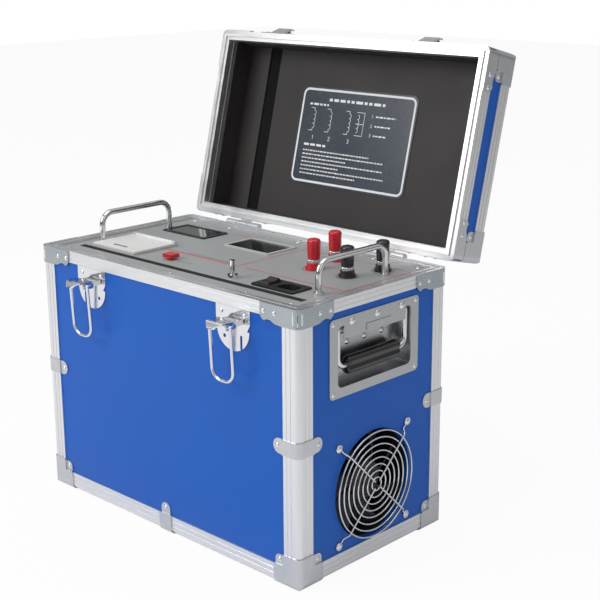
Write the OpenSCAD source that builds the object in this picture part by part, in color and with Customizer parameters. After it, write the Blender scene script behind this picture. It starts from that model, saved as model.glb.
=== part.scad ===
// Bench instrument for measuring winding resistance, built into a framed carrying case.
// The origin is the middle of the underside. +X is the right side, -Y the front, +Z is up.
// Lid pieces are drawn closed, then swung open about the hinge axis.

/* [Case] */
// Width of the case over the edge extrusions
case_w = 400; // [380:1:460]
// Depth of the case over the edge extrusions, front to back
case_d = 224; // [214:1:260]
// Height of the case from the floor to the top of its rim
case_h = 290; // [280:1:320]
// Height of the closed lid above the rim
lid_h = 53; // [52:1:70]
// Angle at which the lid stands open
lid_open = 104; // [96:1:110]
// Thickness of the laminated plywood panels
panel_t = 6; // [5:0.5:7]

/* [Edge extrusions] */
// Face width of the edge extrusions
edge_w = 20.5; // [19:0.5:22]
// Outer corner radius of the edge extrusions
edge_r = 6; // [4:0.5:7]
// Wall of the extrusions outside the panels
skin_t = 1.5; // [1.3:0.1:1.7]
// Wall of the extrusions inside the panels
inner_t = 1.5; // [1.3:0.1:1.7]
// Length of the inner legs of the extrusions
inner_leg = 16; // [14:0.5:17]
// Width of the fine grooves along the extrusions
groove_w = 1.2; // [0.8:0.1:1.6]
// Depth of the fine grooves along the extrusions
groove_t = 0.4; // [0.2:0.1:0.6]
// Height of the rim around the mouth of the case
rim_h = 13.2; // [12:0.2:15]
// Width of the rim's mating face
rim_w = 11; // [10.5:0.1:12]
// Thickness of the rim's mating face
rim_top_t = 5; // [4.5:0.1:5.2]
// Height of the rim around the mouth of the lid
lid_rim_h = 15.2; // [14.5:0.1:16]
// Width of the sealing tongue under the lid's rim
tongue_w = 2.4; // [2:0.1:2.6]
// Height of the sealing tongue under the lid's rim
tongue_h = 2; // [1.5:0.1:2.2]
// Gap between the rims of the case and the closed lid
lid_gap = 0.4; // [0.3:0.1:0.5]

/* [Corner fittings] */
// Thickness of the pressed corner fittings, clamps and plates
sheet_t = 1.2; // [1:0.1:1.3]
// Reach of a three-way corner cap along each edge
cap_leg = 34; // [32:0.5:36]
// Distance of a cap's rivet ear from both edges
ear_at = 27; // [26:0.5:28]
// Radius of a rivet ear
ear_r = 5.6; // [5:0.1:6]
// Width of the clamp bands round the corner posts
clamp_w = 16; // [14:0.5:18]
// Height of the middle of the clamp bands above the floor
clamp_z = 149; // [120:1:180]
// Reach of a clamp's rivet tab from the edge
clamp_reach = 34; // [32:0.5:36]
// Width of the clamps at the middle of the bottom rails
rail_clamp_w = 19; // [17:0.5:22]
// Reach of the rim's corner braces along each side
brace_reach = 49; // [46:0.5:52]
// Drop of the rim's corner braces below the top of the rim
brace_drop = 19.5; // [18:0.5:21]
// Width of the slot down the corner of a brace
brace_slot = 2.6; // [2:0.1:3]
// Diameter of the rivet heads
rivet_d = 5; // [4.4:0.1:5.6]
// Height of the rivet heads
rivet_h = 1.4; // [1:0.1:1.8]

/* [Latches] */
// Distance of each latch from the middle of the front
latch_x = 112; // [100:1:125]
// Drop of the lever's pivot below the rim
latch_drop = 28; // [26:0.5:30]
// Distance of the lever's pivot from the front of the extrusions
pivot_out = 9; // [8.5:0.1:10]
// Distance from the lever's pivot to the bail's pivot
lever_arm = 8; // [7:0.1:9]
// Width of the lever
lever_w = 24; // [23:0.2:24.4]
// Reach of the lever's tongue beyond the bail's pivot
tongue_reach = 14; // [12:0.5:16]
// Diameter of the bail wire
bail_d = 3.5; // [3:0.1:3.6]
// Distance between the legs of a latch bail
bail_w = 30; // [29.5:0.1:31]
// Length of a latch bail from its pivot to its end
bail_len = 58; // [56:0.5:60]
// Corner radius of a latch bail
bail_r = 12; // [10:0.5:13]
// Width of the upper part of the latch plate
latch_plate_w = 48; // [44:1:52]
// Width of the keeper plate on the lid
keeper_w = 52; // [48:1:58]
// Width of the hook on the keeper
hook_w = 20; // [16:0.5:22]

/* [Side handles] */
// Length of the handle dish along the side
dish_w = 135; // [130:1:140]
// Height of the handle dish
dish_h = 81; // [79:0.5:84]
// Drop of the top of the dish below the rim
dish_drop = 20.5; // [19:0.5:23]
// Length of the recess in the dish
recess_w = 111; // [108:1:114]
// Height of the recess up to its ledge
recess_h = 49; // [47:0.5:51]
// Depth of the recess behind the face of the dish
recess_t = 15; // [14:0.5:18]
// Diameter of the chrome bar of a side handle
side_bar_d = 6; // [5.4:0.1:6.4]
// Distance between the legs of a side handle
side_bar_w = 102; // [100:0.5:103]
// Drop of the grip's axis below the hinge of a side handle
grip_drop = 38; // [36:0.5:40]
// Length of the moulded grip
grip_len = 82; // [76:1:86]
// Height of the moulded grip
grip_h = 19; // [17:0.5:20]
// Thickness of the moulded grip
grip_t = 13; // [12:0.5:14]

/* [Cooling fan] */
// Height of the fan's axis above the floor
fan_z = 82; // [80:1:90]
// Frame size of the fan
fan_size = 120; // [116:1:122]
// Thickness of the fan's frame
fan_t = 25; // [24:0.5:27]
// Distance of the mounting screws from the fan's axis, along each side
fan_screw = 52.4; // [51:0.1:53]
// Diameter of the guard's outer ring
guard_d = 114; // [110:1:116]
// Number of rings in the guard
guard_rings = 8; // [6:1:9]
// Diameter of the guard's wire
guard_wire = 1.8; // [1.6:0.1:2.2]
// Height of the guard's rings above the panel
guard_out = 6; // [5:0.5:7]
// Number of blades on the rotor
fan_blades = 7; // [5:1:9]

/* [Control panel] */
// Drop of the control panel below the top of the rim
panel_drop = 3; // [2.6:0.1:4]
// Thickness of the control panel
plate_t = 2.5; // [2:0.1:2.8]
// Clearance round the control panel
panel_gap = 0.5; // [0.3:0.1:0.8]
// Length of the printer's cover
printer_w = 74; // [70:0.5:78]
// Depth of the printer's cover, front to back
printer_d = 63; // [60:0.5:66]
// Width of the display window
display_w = 72; // [68:0.5:74]
// Depth of the display window
display_d = 39; // [36:0.5:42]
// Width of the second window
meter_w = 71; // [66:0.5:74]
// Depth of the second window
meter_d = 46; // [42:0.5:50]
// Height of the panel handles above the panel
grab_h = 33; // [30:0.5:36]
// Distance between the legs of a panel handle
grab_span = 100; // [96:0.5:104]
// Diameter of the panel handles' bar
grab_d = 6.5; // [6:0.1:7]
// Bend radius of the panel handles
grab_r = 14; // [12:0.5:16]
// Distance of the panel handles from the middle
grab_x = 169; // [166:0.5:170]
// Diameter of a terminal's cap
cap_d = 15; // [14:0.2:15.4]
// Height of a terminal's cap
cap_h = 22; // [20:0.5:24]
// Diameter of a terminal's insulating base
post_d = 19; // [18:0.2:19.6]
// Travel of a terminal's cap when it is unscrewed
cap_travel = 5; // [3:0.5:6]

/* [Label] */
// Width of the label plate in the lid
label_w = 178; // [160:1:190]
// Height of the label plate in the lid
label_h = 117; // [100:1:125]

/* [Hidden] */
$fn = 48;
over = 1;
small = 0.3;

// Colours
alu = "gainsboro";
steel = "darkgray";
blue = "royalblue";

// Case, worked out
half_w = case_w / 2;
half_d = case_d / 2;
base_z = sheet_t;
web_out = skin_t + panel_t + inner_t;
panel_in = skin_t + panel_t;
panel_top = case_h - rim_top_t;
rim_z = case_h - rim_h;
post_z = base_z + edge_w;
groove_share = [0.36, 0.64];
rim_groove_share = [0.3, 0.7];
tongue_gap = 0.4;
rim_slot_w = tongue_w + 2 * tongue_gap;
rim_slot_t = tongue_h + tongue_gap;
hollow_d = panel_t - skin_t;

// Lid, worked out
lid_z = case_h + lid_gap;
lid_top = case_h + lid_h;
lid_wall_t = rim_w - panel_in;
lid_panel_z = lid_z + rim_top_t;
lid_panel_top = lid_top - web_out;
hinge_out = 6.6;
hinge_drop = 1.1;
hinge_y = half_d + hinge_out;
hinge_z = case_h - hinge_drop;

// Control panel, worked out
panel_z = case_h - panel_drop;
panel_x = half_w - rim_w - panel_gap;
panel_y = half_d - rim_w - panel_gap;
plate_under = panel_z - plate_t;

// Fittings, worked out
rail_tab_share = 0.37;
brace_shares = [[0, 1], [0.42, 1], [0.57, 0.97], [0.63, 0.92], [0.70, 0.83],
  [0.76, 0.81], [0.83, 0.83], [0.88, 0.91], [0.92, 0.87], [0.98, 0.74], [1, 0.6]];
brace_rivet_shares = [[0.61, 0.45], [0.91, 0.45]];
brace_slot_len = 14;
lid_brace_reach = 45;
lid_brace_drop = 18;
clamp_rivet_at = clamp_reach - ear_r;
corner_relief = 0.8;
seat_r = edge_r - corner_relief;

// Latches, worked out
pivot_y = -half_d - pivot_out;
pivot_z = case_h - latch_drop;
plate_y = -half_d + skin_t;
pin_d = 3;
pin_gap = 0.3;
ear_in = 9;
ear_t = 1.2;
cheek_t = 1.2;
cheek_r = 4;
cheek_in = lever_w / 2 - cheek_t;
pin_head_h = 0.7;
pivot_ear_r = cheek_r - sheet_t - small;
latch_plate_top = case_h - rim_h - small;
latch_waist = 13;
latch_lobe_w = 40;
latch_lobe_r = 23;
latch_bottom = 58.3;
bail_lean = 3;
bail_closed_lean = 4.2;
throat_z = pivot_z - lever_arm + bail_len * cos(bail_closed_lean);
throat_y = pivot_y + bail_len * sin(bail_closed_lean);
hook_t = 1.5;
hook_tip = 5;
keeper_h = 29;
keeper_z = lid_z + 2;

// Side handles, worked out
dish_r = 5;
recess_r = 6;
dish_top = case_h - dish_drop;
dish_z = dish_top - dish_h;
dish_margin = 10;
recess_z = dish_z + dish_margin;
notch_h = 13.5;
notch_w = (recess_w - side_bar_w + side_bar_d) / 2 + sheet_t;
recess_mid_z = recess_z + (recess_h + notch_h) / 2;
recess_out_w = recess_w + 2 * sheet_t;
recess_out_h = recess_h + notch_h + 2 * sheet_t;
knuckle_d = side_bar_d + 2.6;
knuckle_len = 16;
side_axis_in = knuckle_d / 2 - small;
side_hinge_z = recess_z + recess_h + notch_h - side_bar_d / 2 - 2;
side_bend_r = (side_bar_w - grip_len) / 2;
side_axis_x = half_w - skin_t - side_axis_in;
ledge_w = recess_w - 2 * notch_w;
emboss_w = 38;
emboss_h = 7.5;
emboss_t = 0.8;
emboss_u = 5;
dish_screw_shares = [-0.26, 0.02, 0.3];

// Fan, worked out
fan_y = 0;
fan_bore = 116;
fan_corner_r = 5;
fan_face = half_w - panel_in;
rotor_d = 112;
hub_d = 44;
hub_h = 17.5;
hub_gap = 0.5;
bridge_t = 3;
shaft_d = 5;
blade_t = 1.8;
blade_pitch = 38;
grip_gap = 0.05;
grip_groove_r = 2.2;
guard_face = half_w - skin_t + guard_out;
guard_eye_r = 5;
guard_eye_t = guard_wire / 2;
weld_gap = 0.1;

// Control panel, worked out
support_t = 1.5;
support_w = 14;
support_h = 18;
slot_y = -75.5;
slot_w = 9;
slot_t = 1.3;
slot_end = 14;
printer_x = -126;
printer_y = -38.5;
printer_rim = 4;
printer_box_h = 40;
printer_wall = 1.5;
door_gap = 0.3;
door_t = 2;
door_barrel_r = 2;
door_pin_d = 1.6;
door_lug = 5;
paper_slot = [22, 2.5];
paper_slot_in = 10;
feed_key_at = [21.7, 15.2];
feed_key_d = 4.5;
roll_d = 32;
roll_core_d = 12;
frame_t = 1.5;
display_at = [-128, 54.5];
display_rim = 4.5;
meter_at = [-17.5, 53];
meter_rim = 3;
glass_t = 1;
module_h = 8;
window_ledge = 1.5;
terminal_spots = [[96.5, 20.5], [87, 64], [143.5, 20.5], [154, 64]];
post_h = 7;
post_flange_h = 2.6;
post_neck_share = 0.84;
collar_h = 3.7;
collar_d = 11;
stud_d = 6;
stud_hold = 10;
stud_top = stud_hold + cap_travel;
stud_tail = 10;
stud_nut_d = 11.5;
stud_nut_h = 4;
cap_flats = 14.3;
cap_chamfer = 1.4;
cap_z = panel_z + post_h + collar_h + small;
grab_foot_d = 10;
grab_foot_h = 2.5;
panel_screw_d = 6;
panel_screw_h = 1.8;
panel_screw_x = [-175, -113.4, 0, 113.4, 175];
panel_screw_in = 4.5;
inlet_at = [122, -54];
inlet_w = 58;
inlet_d = 30;
inlet_t = 2;
inlet_h = 22;
inlet_rim = 2.5;
socket_w = 24.5;
socket_d = 16.8;
socket_h = 17;
socket_chamfer = 5;
socket_off = 12;
blade_w = 4;
blade_thick = 2;
blade_h = 13;
blade_step = 7;
blade_off = 2;
rocker_off = -16;
rocker_w = 13;
rocker_d = 19;
rocker_h = 5;
rocker_tilt = 8;
rocker_r = 12;
button_at = [-47.8, -52];
button_w = 14;
button_d = 13;
button_h = 4;
button_travel = 2;
button_stem_d = 5;
earth_at = [60, -62];
board_w = 130;
board_d = 96;
board_t = 1.6;
board_at = [-18, -28];
board_drop = 16;
standoff_d = 7;
core_d = 130;
core_hole_d = 44;
core_h = 58;
core_r = 14;
core_at = [-70, 0];
core_plate_d = 74;
core_plate_t = 3;
core_bolt_d = 10;

// Hinges and lid, worked out
hinge_at = 112;
hinge_w = 54;
hinge_knuckle_d = 8;
hinge_pin_d = 4;
hinge_leaf_h = 23;
hinge_parts = 3;
keeper_rivet_share = 0.36;
lining_t = 2.5;
lining_wall = 3;
lining_z = lid_z + 25;
groove_x = [-154, -135];
label_t = 0.8;
label_r = 8;

// Puts its children at the four upright edges, drawn for the front left one
module four_edges() {
  for (mx = [0, 1], my = [0, 1])
    mirror([mx, 0, 0]) mirror([0, my, 0]) translate([-half_w, -half_d, 0]) children();
}

// Puts its children at the left and the right
module both_sides() {
  for (m = [0, 1]) mirror([m, 0, 0]) children();
}

// Swings pieces that are drawn closed to the angle at which the lid stands open
module opened() {
  translate([0, hinge_y, hinge_z]) rotate([-lid_open, 0, 0])
    translate([0, -hinge_y, -hinge_z]) children();
}

// Square with its corner at the origin rounded
module corner_square(w, r) {
  difference() {
    square(w);
    difference() {
      translate([-over, -over]) square(r + over);
      translate([r, r]) circle(r);
    }
  }
}

// Rectangle about the origin with round corners
module round_rect(w, d, r) {
  square([w - 2 * r, d], center = true);
  square([w, d - 2 * r], center = true);
  for (x = [-1, 1], y = [-1, 1])
    translate([x * (w / 2 - r), y * (d / 2 - r)]) circle(r);
}

// Low dome of a rivet or screw on the plane z = 0
module dome(d, h) {
  cap = h * 0.8;
  ball = (d * d / 4 + cap * cap) / (2 * cap);
  rotate_extrude() intersection() {
    translate([0, h - ball]) circle(ball);
    square([d / 2, h]);
  }
}

// Section of an edge extrusion, its outer corner at the origin
module edge_section(w = edge_w) {
  difference() {
    union() {
      difference() {
        corner_square(w, edge_r);
        translate([skin_t, skin_t]) square(w);
      }
      corner_square(web_out, edge_r);
      translate([panel_in, panel_in]) difference() {
        square(inner_leg - panel_in);
        translate([inner_t, inner_t]) square(inner_leg);
      }
    }
    translate([web_out, web_out] / 2) circle(d = hollow_d);
    for (s = groove_share) {
      translate([s * w + edge_r / 2 - groove_w, -over]) square([groove_w, groove_t + over]);
      translate([-over, s * w + edge_r / 2 - groove_w]) square([groove_t + over, groove_w]);
    }
  }
}

// Section of the case's rim, outer face at x = 0, top at y = rim_h
module case_rim_section() {
  difference() {
    union() {
      square([skin_t, rim_h]);
      translate([0, rim_h - rim_top_t]) square([rim_w, rim_top_t]);
      translate([panel_in, 0]) square([inner_t, rim_h]);
    }
    translate([(rim_w - rim_slot_w) / 2, rim_h - rim_slot_t]) square([rim_slot_w, rim_slot_t + over]);
    for (s = rim_groove_share)
      translate([-over, s * rim_h]) square([groove_t + over, groove_w]);
  }
}

// Section of the lid's rim, mating face at y = 0, with its tongue below
module lid_rim_section() {
  difference() {
    union() {
      square([skin_t, lid_rim_h]);
      square([rim_w, rim_top_t]);
      translate([panel_in, 0]) square([lid_wall_t, lid_rim_h]);
      translate([(rim_w - tongue_w) / 2, -tongue_h]) square([tongue_w, tongue_h + over]);
    }
    for (s = rim_groove_share)
      translate([-over, s * lid_rim_h]) square([groove_t + over, groove_w]);
    translate([rim_w - groove_t, lid_rim_h / 2]) square([groove_t + over, groove_w]);
  }
}

// Bar along the front of a frame w by d, its ends mitred
module mitred_bar(w, d, z, h) {
  deep = edge_w + over;
  intersection() {
    translate([-w / 2, -d / 2, z]) rotate([90, 0, 90]) linear_extrude(w) children();
    translate([0, 0, z - over * 5]) linear_extrude(h + over * 10)
      polygon([[-w / 2, -d / 2], [w / 2, -d / 2], [w / 2 - deep, deep - d / 2], [deep - w / 2, deep - d / 2]]);
  }
}

// Carries a section round all four sides, x inward from the outer faces and y upward
module ring(z, h) {
  intersection() {
    union() {
      for (m = [0, 1]) {
        mirror([0, m, 0]) mitred_bar(case_w, case_d, z, h) children();
        mirror([m, 0, 0]) rotate([0, 0, -90]) mitred_bar(case_d, case_w, z, h) children();
      }
    }
    translate([0, 0, z - over * 5]) linear_extrude(h + over * 10)
      round_rect(case_w, case_d, edge_r);
  }
}

// Panel standing along the front or back, from z0 to z1
module long_panel(z0, z1) {
  translate([-half_w + web_out, -half_d + skin_t, z0])
    cube([case_w - 2 * web_out, panel_t, z1 - z0]);
}

// Panel standing along the left, from z0 to z1
module short_panel(z0, z1) {
  translate([-half_w + skin_t, -half_d + web_out, z0])
    cube([panel_t, case_d - 2 * web_out, z1 - z0]);
}

// Case panels and extrusions

module case_front_panel() color(blue) long_panel(base_z + web_out, panel_top);
module case_back_panel() color(blue) mirror([0, 1, 0]) long_panel(base_z + web_out, panel_top);

// Cut-out of a side panel for the handle dish, 2D across the panel (y, z)
module dish_hole() {
  translate([0, recess_mid_z])
    round_rect(recess_out_w + 2 * small, recess_out_h + 2 * small, recess_r + sheet_t + small);
}

module case_left_panel() {
  color(blue) difference() {
    short_panel(base_z + web_out, panel_top);
    translate([-half_w - over, 0, 0]) rotate([90, 0, 90]) linear_extrude(panel_in + 2 * over)
      dish_hole();
  }
}

module case_right_panel() {
  color(blue) difference() {
    mirror([1, 0, 0]) short_panel(base_z + web_out, panel_top);
    translate([half_w - panel_in - over, 0, 0]) rotate([90, 0, 90])
      linear_extrude(panel_in + 2 * over) dish_hole();
    translate([half_w - panel_in - over, 0, fan_z]) rotate([0, 90, 0])
      cylinder(d = fan_bore, h = panel_in + 2 * over, $fn = 96);
  }
}

module case_bottom_panel() {
  color("dimgray") translate([-half_w + web_out, -half_d + web_out, base_z + skin_t])
    cube([case_w - 2 * web_out, case_d - 2 * web_out, panel_t]);
}

module case_corner_posts() {
  color(alu) four_edges() translate([0, 0, post_z]) linear_extrude(rim_z - post_z) edge_section();
}

module case_bottom_rails() color(alu) ring(base_z, edge_w) edge_section();
module case_rim() color(alu) ring(rim_z, rim_h) case_rim_section();

// Pressed corner fittings

// Solid corner at the origin with its three edges rounded
module soft_corner(len, r) {
  intersection() {
    linear_extrude(len) corner_square(len, r);
    rotate([90, 0, 90]) linear_extrude(len) corner_square(len, r);
    translate([0, len, 0]) rotate([90, 0, 0]) linear_extrude(len) corner_square(len, r);
  }
}

// Rivet ear pressed down onto the panel, seen on the front face
module cap_ear() {
  reach = ear_at - edge_w;
  for (t = [sheet_t, skin_t + sheet_t])
    translate([0, skin_t, 0]) rotate([90, 0, 0]) linear_extrude(t) intersection() {
      translate([edge_w, edge_w]) union() {
        translate([reach, reach]) circle(ear_r);
        square([reach, reach + ear_r]);
        square([reach + ear_r, reach]);
      }
      if (t == sheet_t) translate([edge_w, edge_w]) square(2 * cap_leg);
      else difference() {
        translate([edge_w, edge_w]) square(2 * cap_leg);
        translate([edge_w + sheet_t, edge_w + sheet_t]) square(2 * cap_leg);
      }
    }
}

// Three-way corner cap, its inner corner at the origin
module corner_cap() {
  lap = 2 * sheet_t;
  intersection() {
    difference() {
      translate([-sheet_t, -sheet_t, -sheet_t]) soft_corner(cap_leg + lap, edge_r + sheet_t);
      soft_corner(cap_leg + lap, seat_r);
    }
    translate([-lap, -lap, -lap]) union() {
      cube([cap_leg + lap, edge_w + lap, edge_w + lap]);
      cube([edge_w + lap, cap_leg + lap, edge_w + lap]);
      cube([edge_w + lap, edge_w + lap, cap_leg + lap]);
    }
  }
  cap_ear();
  mirror([1, -1, 0]) cap_ear();
}

// Clamp bent round an edge that runs along Z, with a rivet tab on each face
module clamp(w, tab_r) {
  translate([0, 0, -w / 2]) linear_extrude(w) {
    difference() {
      translate([-sheet_t, -sheet_t]) corner_square(edge_w + 2 * sheet_t, edge_r + sheet_t);
      corner_square(edge_w + 2 * sheet_t, seat_r);
    }
    for (m = [0, 1]) mirror([m, -m]) translate([edge_w, -sheet_t / 2])
      square([sheet_t, skin_t + sheet_t / 2]);
  }
  for (m = [0, 1]) mirror([m, -m, 0])
    translate([0, skin_t, 0]) rotate([90, 0, 0]) linear_extrude(sheet_t) {
      intersection() {
        translate([clamp_reach - tab_r, 0]) circle(tab_r);
        translate([edge_w, -tab_r]) square(2 * tab_r);
      }
      translate([edge_w, -tab_r]) square([clamp_reach - tab_r - edge_w, 2 * tab_r]);
    }
}

module bottom_corner_caps() color(steel) four_edges() translate([0, 0, base_z]) corner_cap();

module edge_clamps() {
  color(steel) {
    four_edges() translate([0, 0, clamp_z]) clamp(clamp_w, clamp_w / 2);
    for (m = [0, 1]) mirror([0, m, 0]) translate([0, -half_d, base_z]) rotate([90, 0, 90])
      clamp(rail_clamp_w, rail_clamp_w * rail_tab_share);
  }
}

// Outline of one side of a rim brace: along the side, and down from the rim's top
module brace_outline(reach, drop) {
  polygon(concat([[0, 0]],
    [for (p = brace_shares) [p[0] * reach, -p[1] * drop]],
    [[reach, 0]]));
}

// Brace round the corner of a rim, hanging down from z = 0, with a slot down its corner
module rim_brace(reach, drop) {
  difference() {
    union() {
      for (m = [0, 1]) mirror([m, -m, 0]) rotate([90, 0, 0]) linear_extrude(sheet_t) intersection() {
        brace_outline(reach, drop);
        translate([edge_r, -2 * drop]) square([reach, 2 * drop]);
      }
      translate([0, 0, -drop]) linear_extrude(drop) difference() {
        translate([-sheet_t, -sheet_t]) corner_square(edge_r + sheet_t, edge_r + sheet_t);
        corner_square(2 * edge_r, seat_r);
      }
    }
    translate([edge_r, edge_r, -drop + brace_slot]) rotate([90, 0, 135]) rotate([0, 180, 0])
      linear_extrude(2 * edge_r) {
        translate([-brace_slot / 2, 0]) square([brace_slot, brace_slot_len - brace_slot]);
        for (y = [0, brace_slot_len - brace_slot]) translate([0, y]) circle(d = brace_slot);
      }
  }
}

module rim_corner_braces() {
  color("slategray") four_edges() translate([0, 0, case_h]) rim_brace(brace_reach, brace_drop);
}

// Latches

// Flat outline of a latch plate about its pivot, in the plane of the front
module latch_outline() {
  top = latch_plate_top - pivot_z;
  waist_z = latch_waist - latch_drop + lever_arm;
  intersection() {
    union() {
      translate([-latch_plate_w / 2, 0]) square([latch_plate_w, top]);
      polygon([[-latch_plate_w / 2, 0], [latch_plate_w / 2, 0],
        [latch_lobe_w / 2, waist_z], [-latch_lobe_w / 2, waist_z]]);
      translate([-latch_lobe_w / 2, latch_drop - latch_bottom + edge_r])
        square([latch_lobe_w, latch_bottom - latch_drop - edge_r + waist_z]);
      translate([0, latch_drop - latch_bottom + latch_lobe_r]) intersection() {
        circle(latch_lobe_r);
        translate([-latch_lobe_r, -latch_lobe_r]) square([2 * latch_lobe_r, latch_lobe_r]);
      }
    }
    translate([0, latch_drop - latch_bottom + latch_lobe_r]) union() {
      circle(latch_lobe_r);
      translate([-latch_plate_w, 0]) square(2 * latch_plate_w);
    }
  }
}

// Plate with two ears and the pin that the lever turns on
module latch_plate() {
  key_len = latch_drop * 0.44;
  difference() {
    translate([0, plate_y, pivot_z]) rotate([90, 0, 0]) linear_extrude(sheet_t) latch_outline();
    translate([latch_lobe_w * 0.29, plate_y - over - sheet_t, pivot_z - latch_drop * 0.72])
      rotate([-90, 0, 0]) linear_extrude(3 * over) {
        square([pin_d, key_len], center = true);
        for (s = [-0.5, 0.5]) translate([0, s * key_len]) circle(d = pin_d);
      }
    translate([-latch_lobe_w * 0.3, plate_y - over - sheet_t, pivot_z - latch_drop * 0.6])
      rotate([-90, 0, 0]) cylinder(d = pin_d + over, h = 3 * over);
  }
  for (m = [0, 1]) mirror([m, 0, 0]) {
    translate([ear_in, 0, 0]) rotate([90, 0, 90]) linear_extrude(ear_t) {
      translate([pivot_y, pivot_z]) circle(pivot_ear_r);
      translate([pivot_y, pivot_z - pivot_ear_r]) square([plate_y - pivot_y, 2 * pivot_ear_r]);
    }
    translate([lever_w / 2 + pin_gap, pivot_y, pivot_z]) rotate([0, 90, 0])
      cylinder(d = pin_d + over, h = pin_head_h);
  }
  translate([-lever_w / 2 - pin_gap - small, pivot_y, pivot_z]) rotate([0, 90, 0])
    cylinder(d = pin_d, h = lever_w + 2 * pin_gap + 2 * small);
}

module latch_plates() color(steel) both_sides() translate([latch_x, 0, 0]) latch_plate();

// Side view of a lever cheek about the pivot, x outward, y up
module cheek_outline() {
  difference() {
    union() {
      circle(cheek_r);
      translate([lever_arm, 0]) circle(cheek_r);
      translate([0, -cheek_r]) square([lever_arm, 2 * cheek_r]);
      translate([0, cheek_r - sheet_t]) square([lever_arm + tongue_reach / 2, sheet_t]);
    }
    circle(d = pin_d + 2 * pin_gap);
    translate([lever_arm, 0]) circle(d = bail_d + 2 * pin_gap);
  }
}

// Lever standing out from the case, with a spoon-shaped tongue
module latch_lever() {
  len = lever_arm + tongue_reach;
  dip = len * 0.3;
  for (m = [0, 1]) mirror([m, 0, 0])
    translate([cheek_in, 0, 0]) rotate([90, 0, 90]) linear_extrude(cheek_t)
      mirror([1, 0]) cheek_outline();
  intersection() {
    translate([-lever_w / 2, 0, 0]) rotate([90, 0, 90]) linear_extrude(lever_w) mirror([1, 0]) {
      translate([0, cheek_r - sheet_t]) square([len - dip, sheet_t]);
      translate([len - dip, cheek_r - dip]) difference() {
        circle(dip);
        circle(dip - sheet_t);
        translate([-2 * dip, -2 * dip]) square([2 * dip, 4 * dip]);
        translate([-dip, -2 * dip]) square([3 * dip, 2 * dip + dip / 4]);
      }
    }
    translate([0, 0, -len]) linear_extrude(2 * len) {
      translate([-lever_w / 2, -len + lever_w / 3]) square([lever_w, len]);
      translate([0, -len + lever_w / 2]) circle(d = lever_w);
    }
  }
}

module lever_at(side) {
  color(steel) translate([side * latch_x, pivot_y, pivot_z]) latch_lever();
}

module latch_lever_left() lever_at(-1);
module latch_lever_right() lever_at(1);

// Wire loop hanging from its two inturned ends at z = 0
module wire_loop(w, len, r, d, turn_in) {
  for (m = [0, 1]) mirror([m, 0, 0]) {
    translate([w / 2, 0, -len + d / 2 + r]) cylinder(d = d, h = len - d / 2 - r);
    translate([w / 2, 0, 0]) sphere(d = d);
    translate([w / 2 - turn_in, 0, 0]) rotate([0, 90, 0]) cylinder(d = d, h = turn_in);
    translate([w / 2 - r, 0, -len + d / 2 + r]) rotate([90, 90, 0])
      rotate_extrude(angle = 90) translate([r, 0]) circle(d = d);
    rotate([0, 90, 0]) translate([len - d / 2, 0, 0]) cylinder(d = d, h = w / 2 - r);
  }
}

module latch_bail(side) {
  color("silver") translate([side * latch_x, pivot_y - lever_arm, pivot_z]) rotate([bail_lean, 0, 0])
    wire_loop(bail_w, bail_len + bail_d / 2, bail_r, bail_d, bail_w / 2 - cheek_in + pin_gap);
}

module latch_bail_left() latch_bail(-1);
module latch_bail_right() latch_bail(1);

// Side handles

// Recessed dish on the right panel
module handle_dish() {
  face = sheet_t;
  translate([half_w - skin_t, 0, 0]) rotate([90, 0, 90]) {
    difference() {
      union() {
        translate([0, dish_z + dish_h / 2]) linear_extrude(sheet_t) round_rect(dish_w, dish_h, dish_r);
        translate([0, recess_mid_z, face - recess_t - sheet_t]) linear_extrude(recess_t)
          round_rect(recess_out_w, recess_out_h, recess_r + sheet_t);
        translate([emboss_u, recess_z + recess_h + emboss_h / 2 + sheet_t, 0])
          linear_extrude(face + emboss_t) round_rect(emboss_w, emboss_h, sheet_t);
      }
      translate([0, recess_mid_z, face - recess_t]) linear_extrude(recess_t - face)
        round_rect(recess_w, recess_h + notch_h, recess_r);
      difference() {
        translate([0, recess_mid_z, -over]) linear_extrude(3 * over)
          round_rect(recess_w, recess_h + notch_h, recess_r);
        translate([-ledge_w / 2, recess_z + recess_h, -2 * over])
          cube([ledge_w, notch_h + dish_h, 5 * over]);
      }
    }
    for (m = [0, 1]) mirror([m, 0, 0])
      translate([ledge_w / 2 - knuckle_len, side_hinge_z, -side_axis_in]) rotate([0, 90, 0])
        difference() {
          cylinder(d = knuckle_d, h = knuckle_len);
          translate([0, 0, -over]) cylinder(d = side_bar_d + 2 * pin_gap, h = knuckle_len + 2 * over);
        }
  }
}

module handle_dish_right() color("silver") handle_dish();
module handle_dish_left() color("silver") mirror([1, 0, 0]) handle_dish();

// Chrome bar of the right side handle, hanging
module side_bail() {
  translate([side_axis_x, 0, side_hinge_z]) rotate([0, 0, 90])
    wire_loop(side_bar_w, grip_drop + side_bar_d / 2, side_bend_r, side_bar_d,
      (side_bar_w - ledge_w) / 2 + knuckle_len - side_bar_d / 2);
}

// Moulded grip pushed over the bar, with a finger groove along its outer face
module side_grip() {
  side_r = grip_t / 2;
  translate([side_axis_x, -grip_len / 2, side_hinge_z - grip_drop]) rotate([-90, 0, 0]) difference() {
    intersection() {
      linear_extrude(grip_len) difference() {
        union() {
          square([grip_t, grip_h - 2 * side_r], center = true);
          for (s = [-1, 1]) translate([0, s * (grip_h / 2 - side_r)]) circle(side_r);
        }
        circle(d = side_bar_d + 2 * grip_gap);
        translate([side_r + grip_groove_r * 0.7, 0]) circle(grip_groove_r);
      }
      translate([0, 0, grip_len / 2]) rotate([0, 90, 0]) linear_extrude(2 * grip_t, center = true)
        round_rect(grip_len, grip_h, side_r * 0.8);
    }
  }
}

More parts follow.
